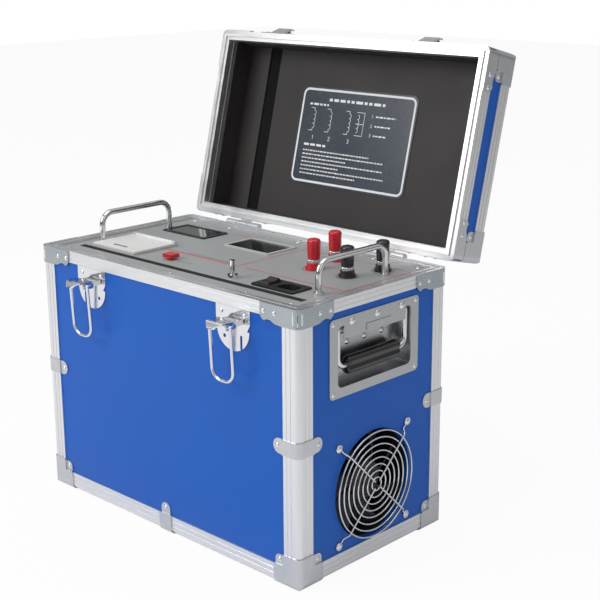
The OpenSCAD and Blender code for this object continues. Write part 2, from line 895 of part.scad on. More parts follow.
module side_bail_right() color("silver") side_bail();
module side_bail_left() color("silver") mirror([1, 0, 0]) side_bail();
module side_grip_right() color("#1c1c1c") side_grip();
module side_grip_left() color("#1c1c1c") mirror([1, 0, 0]) side_grip();

// Cooling fan

// Places children on the fan's axis, their z axis pointing out of the right side
module on_fan(x) {
  translate([x, fan_y, fan_z]) rotate([90, 0, 90]) children();
}

module fan_housing() {
  color("#202020") on_fan(fan_face - fan_t) {
    difference() {
      linear_extrude(fan_t) round_rect(fan_size, fan_size, fan_corner_r);
      translate([0, 0, -over]) cylinder(d = fan_bore, h = fan_t + 2 * over, $fn = 96);
      for (x = [-1, 1], y = [-1, 1]) translate([x * fan_screw, y * fan_screw, -over])
        cylinder(d = pin_d + over, h = fan_t + 2 * over);
    }
    cylinder(d = hub_d, h = bridge_t);
    for (a = [45, 135]) rotate([0, 0, a])
      translate([-(fan_bore + bridge_t) / 2, -shaft_d / 2, 0]) cube([fan_bore + bridge_t, shaft_d, bridge_t]);
    cylinder(d = shaft_d, h = bridge_t + hub_gap + hub_h - shaft_d / 2 - small);
  }
}

module fan_rotor() {
  arc_r = hub_d / 2;
  color("#2a2a2a") on_fan(fan_face - fan_t + bridge_t + hub_gap) difference() {
    union() {
      cylinder(d = hub_d - 2 * small, h = hub_h);
      intersection() {
        cylinder(d = rotor_d, h = hub_h);
        for (i = [0:fan_blades - 1]) rotate([0, 0, i * 360 / fan_blades])
          translate([0, 0, hub_h / 2]) rotate([0, 90, 0]) rotate([0, 0, blade_pitch])
            linear_extrude(rotor_d / 2) translate([arc_r, 0]) intersection() {
              difference() {
                circle(arc_r);
                circle(arc_r - blade_t);
              }
              translate([-2 * arc_r, -arc_r / 2]) square([arc_r * 1.5, arc_r]);
            }
      }
    }
    translate([0, 0, -over]) cylinder(d = shaft_d + 2 * small, h = hub_h - shaft_d / 2 + over);
  }
}

// Rings laid on four spokes that stand on pegs, whose flat eyes take the mounting screws
module fan_guard() {
  step = guard_d / 2 / guard_rings;
  spoke_z = -guard_wire - weld_gap;
  eye_at = fan_screw * sqrt(2);
  peg_at = eye_at - guard_eye_r * 1.1;
  color("silver") on_fan(guard_face) {
    for (i = [1:guard_rings]) rotate_extrude() translate([i * step, 0]) circle(d = guard_wire);
    for (turn = [45:90:315]) rotate(turn) {
      translate([step * 0.6, 0, spoke_z]) rotate([0, 90, 0]) cylinder(d = guard_wire, h = peg_at - step * 0.6);
      translate([peg_at, 0, -guard_out])
        cylinder(d = guard_wire * 1.4, h = guard_out + spoke_z + guard_wire * 0.7);
      translate([eye_at, 0, -guard_out]) linear_extrude(guard_eye_t) difference() {
        circle(guard_eye_r);
        circle(d = pin_d + 2 * small);
      }
    }
  }
}

// Control panel and what it carries

// Puts its children over a place on the panel, at a height
module at(p, z = 0) translate([p[0], p[1], z]) children();

// Block of the size of the case's inside, less a margin all round
module inside(margin, z, h) {
  in = web_out + margin;
  translate([-half_w + in, -half_d + in, z]) cube([case_w - 2 * in, case_d - 2 * in, h]);
}

// Angle frame that carries the panel
module panel_support() {
  color(alu) difference() {
    inside(0, plate_under - support_h, support_h);
    inside(support_t, plate_under - support_h - over, support_h - support_t + over);
    inside(support_w, 0, case_h);
  }
}

// Rectangle about the origin, drawn in by a margin all round
module inset(w, d, margin) square([w - 2 * margin, d - 2 * margin], center = true);

module control_panel() {
  color("#a9adab") difference() {
    translate([-panel_x, -panel_y, plate_under]) cube([2 * panel_x, 2 * panel_y, plate_t]);
    translate([-panel_x + slot_end, slot_y - slot_w / 2, panel_z - slot_t])
      cube([2 * (panel_x - slot_end), slot_w, slot_t + over]);
    translate([0, 0, plate_under - over]) linear_extrude(plate_t + 2 * over) {
      translate([printer_x, printer_y]) inset(printer_w, printer_d, printer_rim - small);
      translate(display_at) inset(display_w, display_d, display_rim + window_ledge);
      translate(meter_at) inset(meter_w, meter_d, meter_rim + window_ledge);
      translate(inlet_at) inset(inlet_w, inlet_d, inlet_rim - small);
      translate(button_at) circle(d = button_stem_d + 2 * small);
      for (p = concat(terminal_spots, [earth_at])) translate(p) circle(d = stud_d + 2 * small);
    }
  }
}

module panel_gasket() {
  color("#101010") translate([-panel_x + slot_end, slot_y - slot_w / 2, panel_z - slot_t])
    cube([2 * (panel_x - slot_end), slot_w, slot_t - small]);
}

module panel_handles() {
  color("silver") both_sides() translate([grab_x, 0, panel_z]) {
    for (m = [0, 1]) mirror([0, m, 0]) {
      translate([0, grab_span / 2, 0]) cylinder(d = grab_foot_d, h = grab_foot_h);
      translate([0, grab_span / 2, 0]) cylinder(d = grab_d, h = grab_h - grab_r);
      translate([0, grab_span / 2 - grab_r, grab_h - grab_r]) rotate([90, 0, 90])
        rotate_extrude(angle = 90) translate([grab_r, 0]) circle(d = grab_d);
      rotate([-90, 0, 0]) translate([0, -grab_h, 0]) cylinder(d = grab_d, h = grab_span / 2 - grab_r);
    }
  }
}

module panel_screws() {
  color("silver") for (m = [0, 1]) mirror([0, m, 0]) for (x = panel_screw_x)
    at([x, panel_y - panel_screw_in], panel_z) dome(panel_screw_d, panel_screw_h);
}

module printer_body() {
  in_w = printer_w - 2 * printer_rim;
  in_d = printer_d - 2 * printer_rim;
  axis_y = printer_d / 2 - door_barrel_r - door_gap;
  axis_z = frame_t + door_gap + door_barrel_r;
  color("#d9d9d6") at([printer_x, printer_y], panel_z) {
    difference() {
      union() {
        linear_extrude(frame_t) round_rect(printer_w, printer_d, printer_rim / 2);
        translate([-in_w / 2, -in_d / 2, -printer_box_h]) cube([in_w, in_d, printer_box_h + frame_t]);
      }
      translate([-in_w / 2 + printer_wall, -in_d / 2 + printer_wall, -printer_box_h + printer_wall])
        cube([in_w - 2 * printer_wall, in_d - 2 * printer_wall, printer_box_h + 2 * frame_t]);
    }
    for (m = [0, 1]) mirror([m, 0, 0]) {
      translate([printer_w / 2 - door_lug, axis_y, axis_z]) rotate([0, 90, 0])
        cylinder(r = door_barrel_r, h = door_lug);
      translate([printer_w / 2 - door_lug, axis_y - door_barrel_r, 0])
        cube([door_lug, 2 * door_barrel_r, axis_z]);
      translate([printer_w / 2 - 2 * door_lug, axis_y, axis_z]) rotate([0, 90, 0])
        cylinder(d = door_pin_d, h = door_lug + over);
    }
  }
}

module printer_door() {
  axis_y = printer_d / 2 - door_barrel_r - door_gap;
  axis_z = frame_t + door_gap + door_barrel_r;
  barrel = printer_w - 2 * door_lug - 2 * small;
  color("#f2f2ef") at([printer_x, printer_y], panel_z) {
    difference() {
      union() {
        translate([0, 0, frame_t + door_gap]) linear_extrude(door_t) difference() {
          round_rect(printer_w, printer_d, printer_rim / 2);
          translate([-printer_w, axis_y - door_barrel_r - small]) square([2 * printer_w, printer_d]);
        }
        translate([-barrel / 2, axis_y - door_barrel_r - over, frame_t + door_gap])
          cube([barrel, door_barrel_r + over, door_t]);
        translate([-barrel / 2, axis_y, axis_z]) rotate([0, 90, 0]) cylinder(r = door_barrel_r, h = barrel);
      }
      translate([-barrel / 2 - over, axis_y, axis_z]) rotate([0, 90, 0])
        cylinder(d = door_pin_d + 2 * small, h = barrel + 2 * over);
      translate([-paper_slot[0] / 2, -printer_d / 2 + paper_slot_in, 0])
        cube([paper_slot[0], paper_slot[1], 4 * door_t]);
    }
    at(feed_key_at, frame_t + door_gap + door_t) dome(feed_key_d, over);
  }
}

module paper_roll() {
  len = printer_w - 2 * printer_rim - 2 * printer_wall - 4 * small;
  roll_z = panel_z - printer_box_h + printer_wall + roll_d / 2 + small;
  color("white") at([printer_x - len / 2, printer_y], roll_z) rotate([0, 90, 0])
    difference() {
      cylinder(d = roll_d, h = len);
      translate([0, 0, -over]) cylinder(d = roll_core_d, h = len + 2 * over);
    }
}

// Raised frame of a window with the instrument block behind it
module window_frame(w, d, rim, r) {
  linear_extrude(frame_t) difference() {
    round_rect(w, d, r);
    inset(w, d, rim);
  }
  translate([0, 0, -module_h]) linear_extrude(module_h) inset(w, d, rim + window_ledge + small);
}

module display_frame() {
  color("#111111") at(display_at, panel_z) window_frame(display_w, display_d, display_rim, over);
}

module meter_frame() {
  color("#c9cbc9") at(meter_at, panel_z) window_frame(meter_w, meter_d, meter_rim, 2 * over);
}

module window_glasses() {
  color("#303a3a") {
    at(display_at, panel_z) linear_extrude(glass_t) inset(display_w, display_d, display_rim + small);
    at(meter_at, panel_z) linear_extrude(glass_t) inset(meter_w, meter_d, meter_rim + small);
  }
}

// Terminals

module post_base() {
  difference() {
    union() {
      cylinder(d = post_d, h = post_flange_h);
      cylinder(d1 = post_d * post_neck_share, d2 = post_d * post_neck_share - over, h = post_h);
    }
    translate([0, 0, -over]) cylinder(d = stud_d + 2 * small, h = post_h + 2 * over);
  }
}

module post_bases_red() color("crimson") for (i = [0, 1]) at(terminal_spots[i], panel_z) post_base();
module post_bases_black() color("#1a1a1a") for (i = [2, 3]) at(terminal_spots[i], panel_z) post_base();

// Threaded stud with its collar above the base and its nut under the panel
module terminal_stud(z) {
  tail = plate_t + stud_tail;
  translate([0, 0, -tail]) cylinder(d = stud_d, h = tail + z + collar_h + stud_top);
  translate([0, 0, z]) cylinder(d = collar_d, h = collar_h);
  translate([0, 0, -plate_t - stud_nut_h]) cylinder(d = stud_nut_d, h = stud_nut_h, $fn = 6);
}

module terminal_studs() {
  color("silver") {
    for (p = terminal_spots) at(p, panel_z) terminal_stud(post_h);
    at(earth_at, panel_z) terminal_stud(0);
  }
}

// Cap that screws down on a stud: rounded hexagon with a chamfered crown
module post_cap(i) {
  at(terminal_spots[i], cap_z) difference() {
    intersection() {
      rotate_extrude() polygon([[0, 0], [cap_d / 2 - small, 0], [cap_d / 2, over / 2],
        [cap_d / 2 - small, cap_h - cap_chamfer], [cap_d / 2 - cap_chamfer - small, cap_h], [0, cap_h]]);
      cylinder(d = cap_flats / cos(30), h = cap_h, $fn = 6);
    }
    translate([0, 0, -over]) cylinder(d = stud_d + 2 * small, h = stud_top + 2 * small + over);
  }
}

module post_cap_red_front() color("crimson") post_cap(0);
module post_cap_red_back() color("crimson") post_cap(1);
module post_cap_black_front() color("#1a1a1a") post_cap(2);
module post_cap_black_back() color("#1a1a1a") post_cap(3);

// Power inlet, switch and button

module power_inlet() {
  deep = inlet_h + inlet_t;
  color("#181818") at(inlet_at, panel_z) difference() {
    union() {
      linear_extrude(inlet_t) round_rect(inlet_w, inlet_d, inlet_rim);
      translate([0, 0, -inlet_h]) linear_extrude(inlet_h)
        square([inlet_w - 2 * inlet_rim, inlet_d - 2 * inlet_rim], center = true);
    }
    difference() {
      translate([socket_off, 0, inlet_t - socket_h]) linear_extrude(socket_h + over) polygon([
        [-socket_w / 2, -socket_d / 2], [socket_w / 2, -socket_d / 2],
        [socket_w / 2, socket_d / 2 - socket_chamfer], [socket_w / 2 - socket_chamfer, socket_d / 2],
        [socket_chamfer - socket_w / 2, socket_d / 2], [-socket_w / 2, socket_d / 2 - socket_chamfer]]);
      for (i = [-1:1]) let (y = i == 0 ? blade_off : -blade_off)
        translate([socket_off + i * blade_step, y, inlet_t - socket_h])
          linear_extrude(blade_h) square([blade_thick, blade_w], center = true);
    }
    translate([rocker_off, 0, inlet_t - deep / 2]) linear_extrude(deep)
      square([rocker_w + 2 * small, rocker_d + 2 * small], center = true);
  }
}

// Rocker on its cross pin, standing in the off position
module power_rocker() {
  color("#b3191e") at([inlet_at[0] + rocker_off, inlet_at[1]], panel_z) rotate([rocker_tilt, 0, 0])
    intersection() {
      translate([-rocker_w / 2, 0, 0]) rotate([90, 0, 90]) linear_extrude(rocker_w) difference() {
        intersection() {
          circle(rocker_d / 2 - small);
          translate([-rocker_d, -rocker_d / 3]) square([2 * rocker_d, rocker_d / 3 + rocker_h]);
        }
        translate([0, rocker_h + rocker_r * 1.5 - over]) circle(rocker_r * 1.5);
      }
      cube([rocker_w, rocker_d, 4 * rocker_d], center = true);
    }
}

module reset_button() {
  color("#d01b26") at(button_at, panel_z) {
    translate([0, 0, button_travel + small]) linear_extrude(button_h) round_rect(button_w, button_d, over);
    translate([0, 0, button_travel + small - board_drop + button_travel])
      cylinder(d = button_stem_d, h = board_drop - button_travel);
  }
}

// Works inside the case

module circuit_board() {
  low = plate_under - board_drop;
  color("#1f6b3a") {
    at(board_at, low) {
      translate([-board_w / 2, -board_d / 2, 0]) cube([board_w, board_d, board_t]);
      for (x = [-1, 1], y = [-1, 1])
        at([x * (board_w / 2 - standoff_d), y * (board_d / 2 - standoff_d)])
          cylinder(d = standoff_d, h = board_drop);
    }
    at(button_at, low) translate([0, 0, board_t / 2]) cylinder(d = button_stem_d * 2, h = over * 3);
  }
}

// Ring core with its windings, held down by a bolt and a dished plate
module test_current_transformer() {
  z = base_z + panel_in;
  color("#b8742e") at(core_at, z) {
    rotate_extrude($fn = 96) difference() {
      translate([core_hole_d / 2, 0]) square([(core_d - core_hole_d) / 2, core_h]);
      for (x = [core_hole_d / 2, core_d / 2], y = [0, core_h]) difference() {
        translate([x, y]) square(core_r, center = true);
        translate([x + (x > core_hole_d ? -1 : 1) * core_r / 2, y + (y > 0 ? -1 : 1) * core_r / 2])
          circle(core_r / 2);
      }
    }
    translate([0, 0, core_h]) cylinder(d = core_plate_d, h = core_plate_t);
    cylinder(d = core_bolt_d, h = core_h + 3 * core_plate_t);
  }
}

// Hinges

// Tube of a hinge between two places along X
module knuckle(x0, x1, bore) {
  translate([x0, hinge_y, hinge_z]) rotate([0, 90, 0]) difference() {
    cylinder(d = hinge_knuckle_d, h = x1 - x0);
    if (bore) translate([0, 0, -over]) cylinder(d = hinge_pin_d + 2 * pin_gap, h = x1 - x0 + 2 * over);
  }
}

module hinge_case_leaves() {
  part = hinge_w / hinge_parts;
  top = hinge_z - hinge_knuckle_d / 2 + sheet_t;
  color("silver") both_sides() translate([hinge_at, 0, 0]) {
    translate([-hinge_w / 2, half_d, case_h - hinge_leaf_h])
      cube([hinge_w, sheet_t, top - case_h + hinge_leaf_h]);
    for (x = [-hinge_w / 2, hinge_w / 2 - part + small]) {
      translate([x, half_d, top - sheet_t]) cube([part - small, hinge_out, sheet_t]);
      knuckle(x, x + part - small, false);
    }
    translate([-hinge_w / 2, hinge_y, hinge_z]) rotate([0, 90, 0]) cylinder(d = hinge_pin_d, h = hinge_w);
  }
}

module hinge_lid_leaves() {
  part = hinge_w / hinge_parts;
  low = hinge_z + hinge_knuckle_d / 2 - sheet_t;
  color("silver") opened() both_sides() translate([hinge_at, 0, 0]) {
    translate([-hinge_w / 2, half_d, low]) cube([hinge_w, sheet_t, hinge_leaf_h - sheet_t]);
    translate([-part / 2 + small, half_d, low]) cube([part - 2 * small, hinge_out, sheet_t]);
    knuckle(-part / 2 + small, part / 2 - small, true);
  }
}

// Lid

module lid_top_panel() {
  color(blue) opened() translate([-half_w + web_out, -half_d + web_out, lid_top - panel_in])
    cube([case_w - 2 * web_out, case_d - 2 * web_out, panel_t]);
}

module lid_side_panels() {
  color(blue) opened() for (m = [0, 1]) {
    mirror([0, m, 0]) long_panel(lid_panel_z, lid_panel_top);
    mirror([m, 0, 0]) short_panel(lid_panel_z, lid_panel_top);
  }
}

module lid_edge_rails() {
  post_low = lid_z + lid_rim_h;
  color(alu) opened() {
    translate([0, 0, lid_top]) mirror([0, 0, 1]) ring(0, edge_w) edge_section();
    four_edges() translate([0, 0, post_low]) linear_extrude(lid_top - edge_w - post_low) edge_section();
  }
}

module lid_rim() color(alu) opened() ring(lid_z, lid_rim_h) lid_rim_section();

module lid_corner_fittings() {
  color(steel) opened() four_edges() {
    translate([0, 0, lid_top]) mirror([0, 0, 1]) corner_cap();
    translate([0, 0, lid_z]) mirror([0, 0, 1]) rim_brace(lid_brace_reach, lid_brace_drop);
  }
}

// Keeper plate with the hook that the latch bail pulls on
module lid_keeper() {
  wire_low = bail_r - sqrt(pow(bail_r - bail_d / 2, 2) - pow(hook_w / 2 - bail_w / 2 + bail_r, 2));
  floor_z = throat_z - wire_low - small;
  out = -half_d - throat_y + bail_d / 2 + 2 * small + hook_t;
  translate([-keeper_w / 2, -half_d - sheet_t, keeper_z]) cube([keeper_w, sheet_t, keeper_h]);
  translate([-hook_w / 2, -half_d, floor_z]) rotate([90, 0, 90]) linear_extrude(hook_w) mirror([1, 0])
    polygon([[sheet_t / 2, -hook_tip - hook_t - out], [out, -hook_t], [out, hook_tip],
      [out - hook_t, hook_tip], [out - hook_t, 0], [sheet_t / 2, 0], [sheet_t / 2, -hook_t],
      [out - 2 * hook_t, -hook_t], [sheet_t / 2, -out - hook_t]]);
}

module lid_keepers() color("silver") opened() both_sides() translate([latch_x, 0, 0]) lid_keeper();

module lid_lining() {
  inner = web_out + lining_wall;
  color("#2f2b2a") opened() difference() {
    translate([-half_w + web_out, -half_d + web_out, lining_z])
      cube([case_w - 2 * web_out, case_d - 2 * web_out, lid_panel_top - lining_z]);
    translate([-half_w + inner, -half_d + inner, lining_z - over])
      cube([case_w - 2 * inner, case_d - 2 * inner, lid_panel_top - lining_t - lining_z + over]);
    translate([groove_x[0], -half_d + inner, lining_z])
      cube([groove_x[1] - groove_x[0], case_d - 2 * inner, lid_h]);
  }
}

module label_plate() {
  color("#3a4550") opened() translate([0, 0, lid_panel_top - lining_t - label_t]) linear_extrude(label_t)
    round_rect(label_w, label_h, label_r);
}

// Rivets and screws

// Place children on the front at x and z, sunk by a depth, pointing outward
module on_front(x, z, depth) {
  translate([x, -half_d + depth, z]) rotate([90, 0, 0]) children();
}

// Place children on the left side at y and z, sunk by a depth, pointing outward
module on_left(y, z, depth) {
  translate([-half_w + depth, y, z]) rotate([0, -90, 0]) children();
}

module rivet() dome(rivet_d, rivet_h);

// One rivet on each face of the front left edge, at a distance from the edge
module edge_rivets(from_edge, z, depth) {
  on_front(-half_w + from_edge, z, depth) rivet();
  on_left(-half_d + from_edge, z, depth) rivet();
}

module case_rivets() {
  tab = skin_t - sheet_t;
  wall_rivet_z = recess_z + recess_h - 2 * rivet_d;
  color("silver") {
    for (mx = [0, 1], my = [0, 1]) mirror([mx, 0, 0]) mirror([0, my, 0]) {
      edge_rivets(ear_at, base_z + ear_at, tab);
      edge_rivets(clamp_rivet_at, clamp_z, tab);
      for (s = brace_rivet_shares) edge_rivets(s[0] * brace_reach, case_h - s[1] * brace_drop, -sheet_t);
    }
    for (m = [0, 1]) {
      mirror([0, m, 0]) on_front(0, base_z + clamp_rivet_at, tab) rivet();
      mirror([m, 0, 0]) {
        for (s = [-1, 1]) {
          on_front(-latch_x + s * latch_plate_w / 3, pivot_z + lever_arm, tab) rivet();
          for (z = [dish_z + dish_r, dish_top - dish_r])
            on_left(s * (dish_w / 2 - dish_r), z, tab) rivet();
          mirror([0, 1, 0])
            on_front(-hinge_at + s * hinge_w / 3, case_h - hinge_leaf_h + rivet_d, -sheet_t) rivet();
        }
        for (s = dish_screw_shares) {
          on_left(s * dish_w, dish_top - dish_r - over, tab) dome(1.6 * rivet_d, 1.5 * rivet_h);
          on_left((s - dish_screw_shares[1]) * dish_w * 0.7, wall_rivet_z, tab + recess_t)
            dome(1.3 * rivet_d, rivet_h);
        }
      }
    }
    on_fan(half_w - skin_t) for (x = [-1, 1], y = [-1, 1]) at([x * fan_screw, y * fan_screw]) {
      cylinder(d = pin_d, h = guard_eye_t);
      at([0, 0], guard_eye_t) dome(1.5 * rivet_d, 1.5 * rivet_h);
    }
  }
}

module lid_rivets() {
  tab = skin_t - sheet_t;
  leaf_rivet_z = hinge_z + hinge_leaf_h - rivet_d;
  color("silver") opened() {
    for (mx = [0, 1], my = [0, 1]) mirror([mx, 0, 0]) mirror([0, my, 0]) {
      edge_rivets(ear_at, lid_top - ear_at, tab);
      for (s = brace_rivet_shares)
        edge_rivets(s[0] * lid_brace_reach, lid_z + s[1] * lid_brace_drop, -sheet_t);
    }
    for (m = [0, 1], s = [-1, 1]) mirror([m, 0, 0]) {
      for (z = [rivet_d, keeper_h - rivet_d])
        on_front(-latch_x + s * keeper_w * keeper_rivet_share, keeper_z + z, -sheet_t) rivet();
      mirror([0, 1, 0]) on_front(-hinge_at + s * hinge_w / 3, leaf_rivet_z, -sheet_t) rivet();
    }
  }
}

case_front_panel();
case_back_panel();
case_left_panel();
case_right_panel();
case_bottom_panel();
case_corner_posts();
case_bottom_rails();
case_rim();
bottom_corner_caps();
edge_clamps();
rim_corner_braces();
case_rivets();
latch_plates();
latch_lever_left();
latch_lever_right();
latch_bail_left();
latch_bail_right();
handle_dish_left();
handle_dish_right();
side_bail_left();
side_bail_right();
side_grip_left();
side_grip_right();
panel_support();
control_panel();
panel_gasket();
panel_handles();
panel_screws();
printer_body();
printer_door();
paper_roll();
display_frame();
meter_frame();
window_glasses();
post_bases_red();
post_bases_black();
terminal_studs();
post_cap_red_front();
post_cap_red_back();
post_cap_black_front();
post_cap_black_back();
power_inlet();
power_rocker();
reset_button();
fan_housing();
fan_rotor();
fan_guard();
test_current_transformer();
circuit_board();
hinge_case_leaves();
hinge_lid_leaves();
lid_top_panel();
lid_side_panels();
lid_edge_rails();
lid_rim();
lid_corner_fittings();
lid_rivets();
lid_keepers();
lid_lining();
label_plate();
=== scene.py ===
# %% [markdown]
# # A resistance tester in a blue carrying case
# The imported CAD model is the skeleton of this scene. It already has the right sizes, so this
# notebook spends its effort on finishes and on the small curved pieces that plain solids
# only hint at: bent wire, turned caps, fan blades and the marks on the panel.
# Lengths are in metres unless a text says millimetres, with +X to the right side, -Y to the
# front and +Z up.

# %% Load the frame
import math
import bpy
import numpy as np
from mathutils import Matrix, Vector


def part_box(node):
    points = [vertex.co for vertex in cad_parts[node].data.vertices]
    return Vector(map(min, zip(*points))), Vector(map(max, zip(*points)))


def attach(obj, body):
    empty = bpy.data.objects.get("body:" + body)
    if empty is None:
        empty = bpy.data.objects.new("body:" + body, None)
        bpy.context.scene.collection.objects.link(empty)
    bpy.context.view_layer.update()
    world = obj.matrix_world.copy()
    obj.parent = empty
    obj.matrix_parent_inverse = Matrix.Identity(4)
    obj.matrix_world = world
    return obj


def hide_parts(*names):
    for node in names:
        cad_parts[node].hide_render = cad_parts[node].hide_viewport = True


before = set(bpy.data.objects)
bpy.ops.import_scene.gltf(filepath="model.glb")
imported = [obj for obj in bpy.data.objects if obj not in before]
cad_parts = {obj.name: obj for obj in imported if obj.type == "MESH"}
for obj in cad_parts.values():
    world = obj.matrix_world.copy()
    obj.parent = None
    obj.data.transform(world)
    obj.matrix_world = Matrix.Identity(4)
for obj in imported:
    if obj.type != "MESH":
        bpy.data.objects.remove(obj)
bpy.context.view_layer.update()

# %% [markdown]
# ## Camera
# A photographed box gives its camera away: its straight edges fix the place, the turn and the
# focal length. The three angles found that way go straight into a rotation matrix, which is
# safer than aiming at a target, because the small roll of the camera is kept too.

# %% Camera
def camera_axes(yaw, pitch, roll):
    """Right, up and backward axes of a camera that looks along +Y, turned by yaw about Z,
    tipped down by pitch, and rolled about its own line of sight."""
    ahead = np.array([-math.sin(yaw) * math.cos(pitch), math.cos(yaw) * math.cos(pitch),
                      -math.sin(pitch)])
    right = np.array([math.cos(yaw), math.sin(yaw), 0.0])
    up = np.cross(right, ahead)
    turned = math.cos(roll) * right + math.sin(roll) * up
    return turned, -math.sin(roll) * right + math.cos(roll) * up, -ahead


CAMERA_PLACE = (0.99214, -0.93262, 0.61926)
YAW, PITCH, ROLL = 0.7656, 0.2728, -0.0058
FOCAL_PIXELS, PHOTO_WIDTH, SENSOR_WIDTH = 1286.3, 600, 36.0
right, up, back = camera_axes(YAW, PITCH, ROLL)
lens = bpy.data.cameras.new("photo_lens")
lens.sensor_fit = "HORIZONTAL"
lens.sensor_width = SENSOR_WIDTH
lens.lens = FOCAL_PIXELS / PHOTO_WIDTH * SENSOR_WIDTH
lens.clip_end = 50
camera = bpy.data.objects.new("photo_camera", lens)
bpy.context.scene.collection.objects.link(camera)
camera.matrix_world = Matrix([[right[i], up[i], back[i], CAMERA_PLACE[i]] for i in range(3)]
                             + [[0, 0, 0, 1]])
bpy.context.scene.camera = camera
bpy.context.scene.view_settings.view_transform = "Standard"
print("lens", round(lens.lens, 2), "mm")

# %% [markdown]
# ## Light and floor
# Metal only looks like metal when it has something to reflect. Product photographs use large
# soft boxes, so the world carries a smooth bright dome with a darker band at the horizon, which
# gives the bars and the extrusions their long streaks. The camera itself sees plain white, and
# the floor glows towards it, so only faint shadows show there.

# %% World, lamps and floor
MIX_FIRST, MIX_SECOND, MIX_RESULT = 6, 7, 2


def link(tree, out, into):
    """Joins an output socket to an input socket."""
    tree.links.new(out, into)


def node(tree, kind, values=None):
    """A new shader node of a kind, with values for some of its inputs, by name or number."""
    made = tree.nodes.new("ShaderNode" + kind)
    for socket, value in (values or {}).items():
        made.inputs[socket].default_value = value
    return made


def colour_mix(tree, first, second):
    """A node that fades from a first colour to a second. Its colour sockets are numbered,
    because the plain numbers and the vectors of the same node use the same names."""
    mix = node(tree, "Mix")
    mix.data_type = "RGBA"
    mix.inputs[MIX_FIRST].default_value = (*first, 1)
    mix.inputs[MIX_SECOND].default_value = (*second, 1)
    return mix


world = bpy.data.worlds.new("studio")
bpy.context.scene.world = world
world.use_nodes = True
tree = world.node_tree
tree.nodes.clear()
seen = node(tree, "LightPath")
place = node(tree, "TexCoord")
split = node(tree, "SeparateXYZ")
lift = node(tree, "MapRange", {"From Min": -1})
bands = node(tree, "ValToRGB")
white = node(tree, "Background", {"Color": (1, 1, 1, 1)})
dome = node(tree, "Background", {"Strength": 0.50})
both = node(tree, "MixShader")
sky = node(tree, "OutputWorld")
bands.color_ramp.interpolation = "EASE"
bands.color_ramp.elements[0].position = 0.0
bands.color_ramp.elements[0].color = (0.62, 0.62, 0.63, 1)
bands.color_ramp.elements[1].position = 1.0
bands.color_ramp.elements[1].color = (0.95, 0.95, 0.96, 1)
for at, level in ((0.46, 0.66), (0.50, 0.26), (0.56, 0.30), (0.66, 0.78), (0.82, 0.98)):
    stop = bands.color_ramp.elements.new(at)
    stop.color = (level, level, level * 1.01, 1)
link(tree, place.outputs["Generated"], split.inputs[0])
link(tree, split.outputs["Z"], lift.inputs["Value"])
link(tree, lift.outputs["Result"], bands.inputs[0])
link(tree, bands.outputs[0], dome.inputs["Color"])
link(tree, seen.outputs["Is Camera Ray"], both.inputs[0])
link(tree, dome.outputs[0], both.inputs[1])
link(tree, white.outputs[0], both.inputs[2])
link(tree, both.outputs[0], sky.inputs["Surface"])


def soft_box(name, place, target, size, power):
    """A rectangular area lamp at a place, facing a target, so its shadow edges are soft."""
    lamp = bpy.data.lights.new(name, "AREA")
    lamp.shape = "RECTANGLE"
    lamp.size, lamp.size_y = size
    lamp.energy = power
    holder = bpy.data.objects.new(name, lamp)
    bpy.context.scene.collection.objects.link(holder)
    holder.location = place
    holder.rotation_euler = (Vector(target) - Vector(place)).to_track_quat("-Z", "Y").to_euler()


CASE_MIDDLE = (0, 0, 0.2)
soft_box("key_left", (-0.9, -1.9, 1.5), CASE_MIDDLE, (1.3, 1.3), 26)
soft_box("fill_right", (2.1, -0.5, 1.0), CASE_MIDDLE, (1.0, 1.4), 2)
soft_box("top_wash", (0.1, -0.2, 2.1), CASE_MIDDLE, (1.6, 1.2), 11)


def quads(xyz, closed_u=False, closed_v=False):
    """The faces of a grid of points: every four neighbours make one, and a closed direction
    joins its last row back to its first."""
    number = np.arange(xyz.shape[0] * xyz.shape[1]).reshape(xyz.shape[:2])
    if closed_u:
        number = np.vstack([number, number[:1]])
    if closed_v:
        number = np.hstack([number, number[:, :1]])
    corners = [number[:-1, :-1], number[1:, :-1], number[1:, 1:], number[:-1, 1:]]
    return np.stack(corners, -1).reshape(-1, 4)


def grid_object(name, surfaces, mat, sharp=35):
    """One object from a list of (points, closed_u, closed_v) grids, smooth but for edges
    sharper than an angle in degrees."""
    points, faces, start = [], [], 0
    for xyz, closed_u, closed_v in surfaces:
        points.append(xyz.reshape(-1, 3))
        faces.append(quads(xyz, closed_u, closed_v) + start)
        start += len(points[-1])
    mesh = bpy.data.meshes.new(name)
    mesh.from_pydata(np.concatenate(points).tolist(), [], np.concatenate(faces).tolist())
    mesh.shade_smooth()
    mesh.set_sharp_from_angle(angle=math.radians(sharp))
    mesh.materials.append(mat)
    made = bpy.data.objects.new(name, mesh)
    bpy.context.scene.collection.objects.link(made)
    return made


floor_mat = bpy.data.materials.new("pale_floor")
floor_mat.use_nodes = True
tree = floor_mat.node_tree
tree.nodes.clear()
seen = node(tree, "LightPath")
place = node(tree, "TexCoord")
grain = node(tree, "TexNoise", {"Scale": 40})
tone = colour_mix(tree, (0.90, 0.90, 0.91), (0.94, 0.94, 0.94))
paper = node(tree, "BsdfDiffuse")
glow = node(tree, "Emission", {"Color": (1, 1, 1, 1), "Strength": 1.0})
share = node(tree, "Math", {1: 0.93})
share.operation = "MULTIPLY"
blend = node(tree, "MixShader")
out = node(tree, "OutputMaterial")
link(tree, place.outputs["Object"], grain.inputs["Vector"])
link(tree, grain.outputs["Fac"], tone.inputs[0])
link(tree, tone.outputs[MIX_RESULT], paper.inputs["Color"])
link(tree, seen.outputs["Is Camera Ray"], share.inputs[0])
link(tree, share.outputs[0], blend.inputs[0])
link(tree, paper.outputs[0], blend.inputs[1])
link(tree, glow.outputs[0], blend.inputs[2])
link(tree, blend.outputs[0], out.inputs["Surface"])
